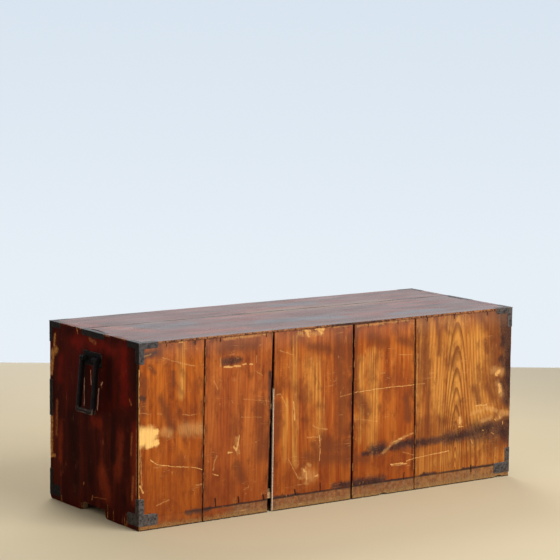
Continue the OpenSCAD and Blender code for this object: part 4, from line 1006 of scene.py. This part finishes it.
def corner_iron(name, side, end, z_low, z_high, arm, both_faces, end_r):
    """A forged leaf folded round an upright arris of the case: laid flat, the sideways distance
    u is negative on the side face and positive on the back or front. The uprights are an arm
    wide, and between the two arm heights the leaf reaches out on one face or both. Each free end
    is rounded, the outline wanders by a hair, and the hammered face falls away at its rim."""
    bent, seed = BEND_IN + BEND_HALF, len(name)
    arm_mid, arm_half = (arm[0] + arm[1]) / 2, (arm[1] - arm[0]) / 2
    far_u, upright_u = ARM_L + bent, ARM_W + bent
    near_u = -far_u if both_faces else -upright_u
    stops = [-upright_u, upright_u] if both_faces else [upright_u]
    us = np.concatenate([lines(near_u, far_u, 2.2, stops, IRON_RIM), np.linspace(-BEND_HALF, BEND_HALF, 7)])
    vs = lines(z_low, z_high, 2.2, [stop for stop in arm if z_low < stop < z_high], IRON_RIM)

    def in_arm(v):
        return (v > arm[0]) & (v < arm[1])

    def kept(u, v):
        return (np.abs(u) - bent < ARM_W) | in_arm(v)

    def edge(u, v):
        d = np.abs(u) - bent
        long_way = np.where(u < 0, -near_u, far_u) - np.abs(u)
        over_arm = np.where(d > ARM_W, np.minimum(v - arm[0], arm[1] - v), 99)
        to_arm = np.maximum(arm[0] - v, v - arm[1])
        inner_corner = np.hypot(np.maximum(ARM_W - d, 0), np.maximum(-to_arm, 0))
        over_upright = np.maximum(np.where(in_arm(v), inner_corner, ARM_W - d), 0)
        return np.clip(np.minimum.reduce([long_way, over_arm, over_upright, v - z_low, z_high - v]), 0, 9)

    def outer(u, v):
        return IRON_T - rounded(edge(u, v), 0.7) - hammered(u, v, seed + 3, 51)

    def place(u, v, w):
        d = np.abs(u) - bent
        drawn_in = rounded(ARM_L - d, end_r) / arm_half
        z = np.where(d > ARM_W, arm_mid + (v - arm_mid) * (1 - drawn_in), v)
        to_foot = v - z_low if arm[0] > z_low + 1 else 99
        to_head = z_high - v if arm[1] < z_high - 1 else 99
        tip = rounded(np.minimum(to_foot, to_head), 4.0) / ARM_W
        narrow = np.where((d <= ARM_W) & ((v < arm[0]) | (v > arm[1])), tip, 0)
        wander = 0.35 * ripple(v, u, seed, 22) * np.clip(np.abs(u) / 10, 0, 1)
        u = u * (1 - narrow) + wander * (np.abs(u) > 6)
        z = z + uneven(u, v, -0.35, 0.35, seed + 7, 24, -0.7, 0) * np.clip((z_high - v) / 4, 0, 1)
        turn = np.clip(u / BEND_HALF, -1, 1) * math.pi / 4 + math.pi / 4
        far = np.maximum(np.abs(u) - BEND_HALF, 0)
        across = BEND_IN + (w - BEND_IN) * np.cos(turn) - far * (u > 0)
        along = BEND_IN + (w - BEND_IN) * np.sin(turn) - far * (u < 0)
        return side * (X_OUT + across), (Y_BACK if end > 0 else Y_FRONT) + end * along, z

    return sheet(place, np.unique(us), vs, edge, outer, nothing, kept)


def flat_iron(place_on, length, width, end_r, thick, seed, plate=False):
    """A forged strip or plate laid flat: its two free corners are rounded, or all four where it
    is a plate, and its hammered face falls away at the rim."""

    def edge(u, v):
        return np.minimum.reduce([length / 2 - np.abs(u), v + 9 * (not plate), width - v])

    def outer(u, v):
        return thick - rounded(edge(u, v), 0.7) - hammered(u, v, seed, 52)

    def place(u, v, w):
        drawn_in = rounded(length / 2 - np.abs(u), end_r)
        low = drawn_in * plate
        return place_on(u, low + v * (width - low - drawn_in) / width, w)

    us, vs = lines(-length / 2, length / 2, 2.4, rim=IRON_RIM), lines(0, width, 2.2, rim=IRON_RIM)
    return sheet(place, us, vs, edge, outer)


def top_leaf(side, end):
    """A top corner's leaf, let into the top flush with the wood: two arms."""
    xs = lines(-IRON_T, ARM_L, 2.4, [ARM_W], IRON_RIM)

    def kept(u, v):
        return (u < ARM_W) | (v < ARM_W)

    def edge(u, v):
        arm = np.where(u > ARM_W, ARM_W - v, np.where(v > ARM_W, ARM_W - u, 9))
        return np.clip(np.minimum.reduce([u + IRON_T, v + IRON_T, ARM_L - u, ARM_L - v, arm]), 0, 9)

    def outer(u, v):
        return -rounded(edge(u, v), 0.5) - uneven(u, v, 0.05, 0.05, 61, 9, 0, 0.10)

    def inner(u, v):
        return np.full(u.shape, -IRON_T)

    def place(u, v, w):
        return side * (X_OUT - u), (Y_BACK if end > 0 else Y_FRONT) - end * v, TOP + w

    return sheet(place, xs, xs, edge, outer, inner, kept)


def case_irons(side, side_name):
    """The leaves of one side of the case: two-faced corners with a top leaf above, the
    broad-armed corners at the foot, a strap round the front arris and one over the top edge."""
    foot_low, foot_high = extent("foot_corner_back_right", "z")
    strap_low, strap_high = extent("front_strap_right", "z")
    under, past, middle = TOP - LEAF_SHORT, 5, (strap_low + strap_high) / 2
    top_arm, foot_arm = (TOP - ARM_W, TOP + past), (foot_low - past, foot_low + FOOT_ARM_H)
    back_finishes = (IRON, FOOT_IRON) if side > 0 else (PALER_IRON, PALER_IRON)
    for end, end_name, finishes in ((1, "back", back_finishes), (-1, "front", (IRON, SHADED_FOOT_IRON))):
        corner = f"{end_name}_{side_name}"
        name = f"top_iron_{corner}"
        leaf = corner_iron(name, side, end, TOP - LEAF_DROP, under, top_arm, True, SLIM_END_R)
        to_mesh(name, joined(leaf, top_leaf(side, end)), finishes[0], "case", f"top_corner_{corner}")
        name = f"foot_iron_{corner}"
        leaf = corner_iron(name, side, end, foot_low, foot_high, foot_arm, True, FOOT_END_R)
        to_mesh(name, leaf, finishes[1], "case", f"foot_corner_{corner}")
    name, band = f"front_band_{side_name}", (middle - ARM_W / 2, middle + ARM_W / 2)
    leaf = corner_iron(name, side, -1, strap_low, strap_high, band, False, SLIM_END_R)
    to_mesh(name, leaf, IRON, "case", f"front_strap_{side_name}")

    def on_side(u, v, w):
        return side * (X_OUT + w), Y_MID + u, under - v

    def on_top(u, v, w):
        return side * (X_OUT + IRON_T - v), Y_MID + u, TOP - IRON_T + w

    below_face = 0.02
    strap = joined(
        flat_iron(on_side, 2 * ARM_L, ARM_W - LEAF_SHORT, SLIM_END_R, IRON_T, 41),
        flat_iron(on_top, 2 * ARM_L, ARM_W + IRON_T, SLIM_END_R, IRON_T - below_face, 43))
    to_mesh(f"top_band_{side_name}", strap, IRON, "case", f"top_strap_{side_name}")


# Handles

# The rim value of a bail's pins and ends, too far from an arris to be rubbed
UNWORN = 3.0


def bail(width, drop, bar, pin_r, head_r, pin_l):
    """A forged bail drawn with its pivot along X at the origin and +Y outwards. A section, a
    square of side bar with softened arrises, is carried down a leg, fanned round the inner
    corner so that the outer corner is rounded, and on to the middle of the foot; the other half
    mirrors it. The leg ends above in a round head. Sections shrink and swell by a hair."""
    steps, square, corner = 32, 6.0, 5
    around = np.linspace(0, 2 * math.pi, steps + 1)[:-1] + math.pi / steps
    grow = (np.abs(np.cos(around)) ** square + np.abs(np.sin(around)) ** square) ** (-1 / square)
    p, q = grow * np.cos(around), grow * np.sin(around)
    inner_x, inner_z = width / 2 - bar, bar - drop

    # One half as a path: where each section starts, how far it is turned, deep and wide
    neck_z, leg_z, almost = -head_r * 1.6, -head_r * 2.2, math.pi / 2 - 0.05
    head, neck = head_r * np.sin(np.linspace(almost, 0, 7)), np.linspace(-1.5, neck_z, 5)
    high = np.concatenate([head, neck, np.linspace(leg_z, inner_z, 12)])
    fan, foot = np.linspace(0, math.pi / 2, 8)[1:-1], np.linspace(inner_x, 0, 9)
    z0 = np.concatenate([high, np.full(fan.size + foot.size, inner_z)])
    x0 = np.concatenate([np.full(high.size + fan.size, inner_x), foot])
    turn = np.concatenate([np.zeros(high.size), fan, np.full(foot.size, math.pi / 2)])
    deep = bar * (np.cos(turn) ** corner + np.sin(turn) ** corner) ** (-1 / corner)
    deep[:high.size] *= np.where(high > head_r * 0.8, 0.9, 1.0)
    swell = np.full(z0.size, bar / 2)
    disc = np.sqrt(np.maximum(head_r**2 - high**2, 0.3))
    swell[:high.size] = np.where(high > 0, disc, np.maximum(disc * (high > -head_r), bar / 2))

    x0, z0, turn, deep, swell = (np.concatenate([a, a[-2::-1]])[:, None] for a in (x0, z0, turn, deep, swell))
    section = np.arange(x0.size)[:, None]
    sign = np.where(section > x0.size // 2, -1, 1)
    even = 1 - uneven(section, p[None] * 3, 0.035, 0.035, 5, 7, 0, 0.07)
    out = ((p + 1) / 2 * even + (1 - even) / 2) * deep
    x, y, z = sign * (x0 + out * np.cos(turn)), swell * q * even, z0 - out * np.sin(turn)
    from_arris = np.clip(1.1 - (np.hypot(p, q) - 1.0) * 5, 0, 2)
    rim = from_arris + 2.5 * np.clip((z0 + drop - bar) / 12, 0, 1)
    shell = *tube(np.stack([x, y, z], -1)), np.concatenate([rim.ravel(), [UNWORN, UNWORN]])
    inside_head = inner_x + 2
    return joined(shell, *(pin(end, inner_x - pin_l, inside_head, pin_r) for end in (-1, 1)))


def pin(end, start, stop, radius):
    """A bail's pin: a circle carried along X, with a low dome at its free end."""
    around = np.linspace(0, 2 * math.pi, 25)[:-1]
    x = np.array([start, start + 0.3, start + 1.0, stop])[:, None]
    size = radius * np.array([0.7, 0.93, 1.0, 1.0])[:, None]
    points, faces = tube(np.stack([end * x + 0 * around, size * np.cos(around), size * np.sin(around)], -1))
    return points, faces, np.full(len(points), UNWORN)


def hung(shape, lean, place):
    """Leans a bail out by the angle about its pivot, then puts it at its place on the case."""
    points, faces, rim = shape
    x, y, z = points.T
    y, z = y * math.cos(lean) - z * math.sin(lean), y * math.sin(lean) + z * math.cos(lean)
    return np.stack(place(x, y, z), -1), faces, rim


def side_handle(side, side_name):
    """A bail on a hammered plate in the middle of a side, leaning out a little."""
    plate_z, stand_off = box_mm(f"handle_plate_{side_name}")[0].z, 9.5
    plate_l, plate_w, plate_t, plate_end_r = 84, 33, 1.6, 4.0

    def place(x, y, z):
        return side * (X_OUT + stand_off + y), Y_MID - x, PIVOT_Z + z

    def on_side(u, v, w):
        return side * (X_OUT + w), Y_MID + u, plate_z + v

    shape = hung(bail(width=75, drop=126, bar=11, pin_r=3.6, head_r=7.0, pin_l=9.5), math.radians(5), place)
    to_mesh(f"carry_bail_{side_name}", shape, BAIL_IRON, f"carry_handle_{side_name}",
            f"handle_bail_{side_name}")
    plate = flat_iron(on_side, plate_l, plate_w, plate_end_r, plate_t, 45, plate=True)
    to_mesh(f"carry_plate_{side_name}", plate, BAIL_IRON, "case", f"handle_plate_{side_name}")


def drawer_pull(bay, side, side_name):
    """A small bail hanging from two posts on a drawer's front."""
    node, apart, stand_off, head_r = f"{bay}_pull_{side_name}", 285, 8.5, 4.6
    pivot_z = box_mm(node)[1].z - head_r

    def place(x, y, z):
        return side * apart - x, Y_FRONT - stand_off - y, pivot_z + z

    shape = hung(bail(width=92, drop=46, bar=7, pin_r=2.6, head_r=head_r, pin_l=7.5), 0.0, place)
    to_mesh(f"{bay}_bail_{side_name}", shape, IRON, node, node)


for side, side_name in SIDES:
    case_irons(side, side_name)
for side, side_name in SIDES:
    side_handle(side, side_name)
    for bay in ("upper", "lower"):
        drawer_pull(bay, side, side_name)


# Finish of the nodes that stay, by a word in their name

FINISH_OF = (("nails", NAIL), ("bottom_board_rear", LIT_BOTTOM_WOOD), ("shelf_board", PALE_ACROSS),
             ("drawer_bottom", PALE_ACROSS), ("drawer_back", SHADED_ACROSS), ("drawer_side", PALE_DEEP),
             ("drawer_pegs", PALE_DEEP), ("handle_posts", BAIL_IRON), ("pull", IRON))
for name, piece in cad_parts.items():
    if not piece.hide_render:
        piece.data.materials.clear()
        piece.data.materials.append(next(finish for word, finish in FINISH_OF if word in name))


# Stage, light and camera

FORWARD = Vector((-0.5690, -0.8120, -0.1304)).normalized()
LEVEL_FORWARD = Vector((FORWARD.x, FORWARD.y, 0)).normalized()
LENS_PLACE = Vector((3.1567, 4.4795, 1.2319))
LENS_MM, SENSOR_MM, ROLL_DEG = 146.08, 36, 0.54


def stage_floor():
    """A plain pale floor: it ends in a straight line behind the chest and fades out softly
    everywhere else."""
    radii = np.array([0, 0.6, 1.2, 1.8, 2.4, 3.0, 3.6])[:, None]
    turns = np.linspace(0, 2 * math.pi, 97)[:-1]
    grid = np.stack([radii * np.cos(turns), radii * np.sin(turns), 0 * radii * turns], -1)
    index = np.arange(grid.size // 3).reshape(grid.shape[:2])
    across = np.roll(index, -1, axis=1)
    faces = np.stack([index[:-1], index[1:], across[1:], across[:-1]], -1).reshape(-1, 4)
    mesh = bpy.data.meshes.new("pale_floor")
    mesh.from_pydata(grid.reshape(-1, 3).tolist(), [], faces.tolist())
    mesh.validate()
    f = Finish("pale_floor")
    radius = f.vector("LENGTH", f.here)
    behind = f.vector("DOT_PRODUCT", f.here, LEVEL_FORWARD)
    drift = f.grain(f.here, (1.4,) * 3)
    # Painted shade: the floor's colour darkens away from the chest.
    colour = f.mix(f.span(f.scaled(drift, 0.5, radius), 0.6, 2.4), (0.70, 0.585, 0.385), (0.50, 0.44, 0.33))
    mirrored = f.node("LightPath").outputs["Is Glossy Ray"]
    f.done(f.mix(mirrored, colour, (0.07, 0.058, 0.045)), 0.75, 0.2)
    clear = f.node("BsdfTransparent")
    gone = f.math("MAXIMUM", f.span(behind, 1.76, 1.79), f.span(radius, 2.0, 3.5))
    blend = f.node("MixShader", gone, f.shader.outputs[0], clear.outputs[0])
    f.fill(f.tree.nodes["Material Output"].inputs["Surface"], blend.outputs[0])
    mesh.materials.append(f.material)
    floor = bpy.data.objects.new("pale_floor", mesh)
    bpy.context.scene.collection.objects.link(floor)


def room_light():
    """The world: a pale backdrop to the eye, a lit wall behind the chest, and a dimmer room."""
    world = bpy.data.worlds.new("studio")
    bpy.context.scene.world = world
    world.use_nodes = True
    n = Nodes(world.node_tree)
    n.tree.nodes.clear()
    where = n.node("TexCoord").outputs["Generated"]
    seen = n.mix(n.span(n.parts(where)["Z"], -0.17, 0.03), (0.81, 0.87, 0.93), (0.68, 0.77, 0.865))
    ahead = n.vector("DOT_PRODUCT", where, LEVEL_FORWARD)
    mirrored = n.mix(n.span(ahead, 0.55, 0.92), (0.04, 0.04, 0.04), (0.90, 0.94, 0.98))
    rays = n.node("LightPath").outputs
    room = n.mix(rays["Is Glossy Ray"], (0.27, 0.27, 0.27), mirrored)
    glow = n.node("Background", n.mix(rays["Is Camera Ray"], room, seen))
    n.node("OutputWorld", glow.outputs[0])


def soft_lamp(name, towards, away, size, watts, mirrored):
    """A square soft lamp that stands in a direction from the chest and faces it."""
    lamp = bpy.data.lights.new(name, "AREA")
    lamp.size, lamp.energy = size, watts
    holder = bpy.data.objects.new(name, lamp)
    direction = Vector(towards).normalized()
    holder.location = Vector((0, 0, 0.2)) + direction * away
    holder.visible_glossy = mirrored
    holder.rotation_euler = (-direction).to_track_quat("-Z", "Y").to_euler()
    bpy.context.scene.collection.objects.link(holder)


def photographers_camera():
    """The camera at the photograph's place: forward and sideways directions, rolled by a hair."""
    side = Vector((FORWARD.y, -FORWARD.x, 0)).normalized()
    up = side.cross(FORWARD)
    roll = math.radians(ROLL_DEG)
    side, up = side * math.cos(roll) + up * math.sin(roll), up * math.cos(roll) - side * math.sin(roll)
    lens = bpy.data.cameras.new("camera")
    lens.lens, lens.sensor_width = LENS_MM, SENSOR_MM
    camera = bpy.data.objects.new("camera", lens)
    camera.matrix_world = Matrix((side, up, -FORWARD)).transposed().to_4x4()
    camera.location = LENS_PLACE
    bpy.context.scene.collection.objects.link(camera)
    bpy.context.scene.camera = camera


stage_floor()
room_light()
soft_lamp("key_lamp", towards=(-0.25, 0.90, 0.62), away=3.6, size=2.6, watts=125, mirrored=True)
soft_lamp("side_lamp", towards=(0.95, 0.10, 0.75), away=3.8, size=2.2, watts=12, mirrored=True)
soft_lamp("front_lamp", towards=(-0.3, -0.95, 0.7), away=3.8, size=2.6, watts=100, mirrored=False)
photographers_camera()
bpy.context.scene.view_settings.view_transform = "Standard"
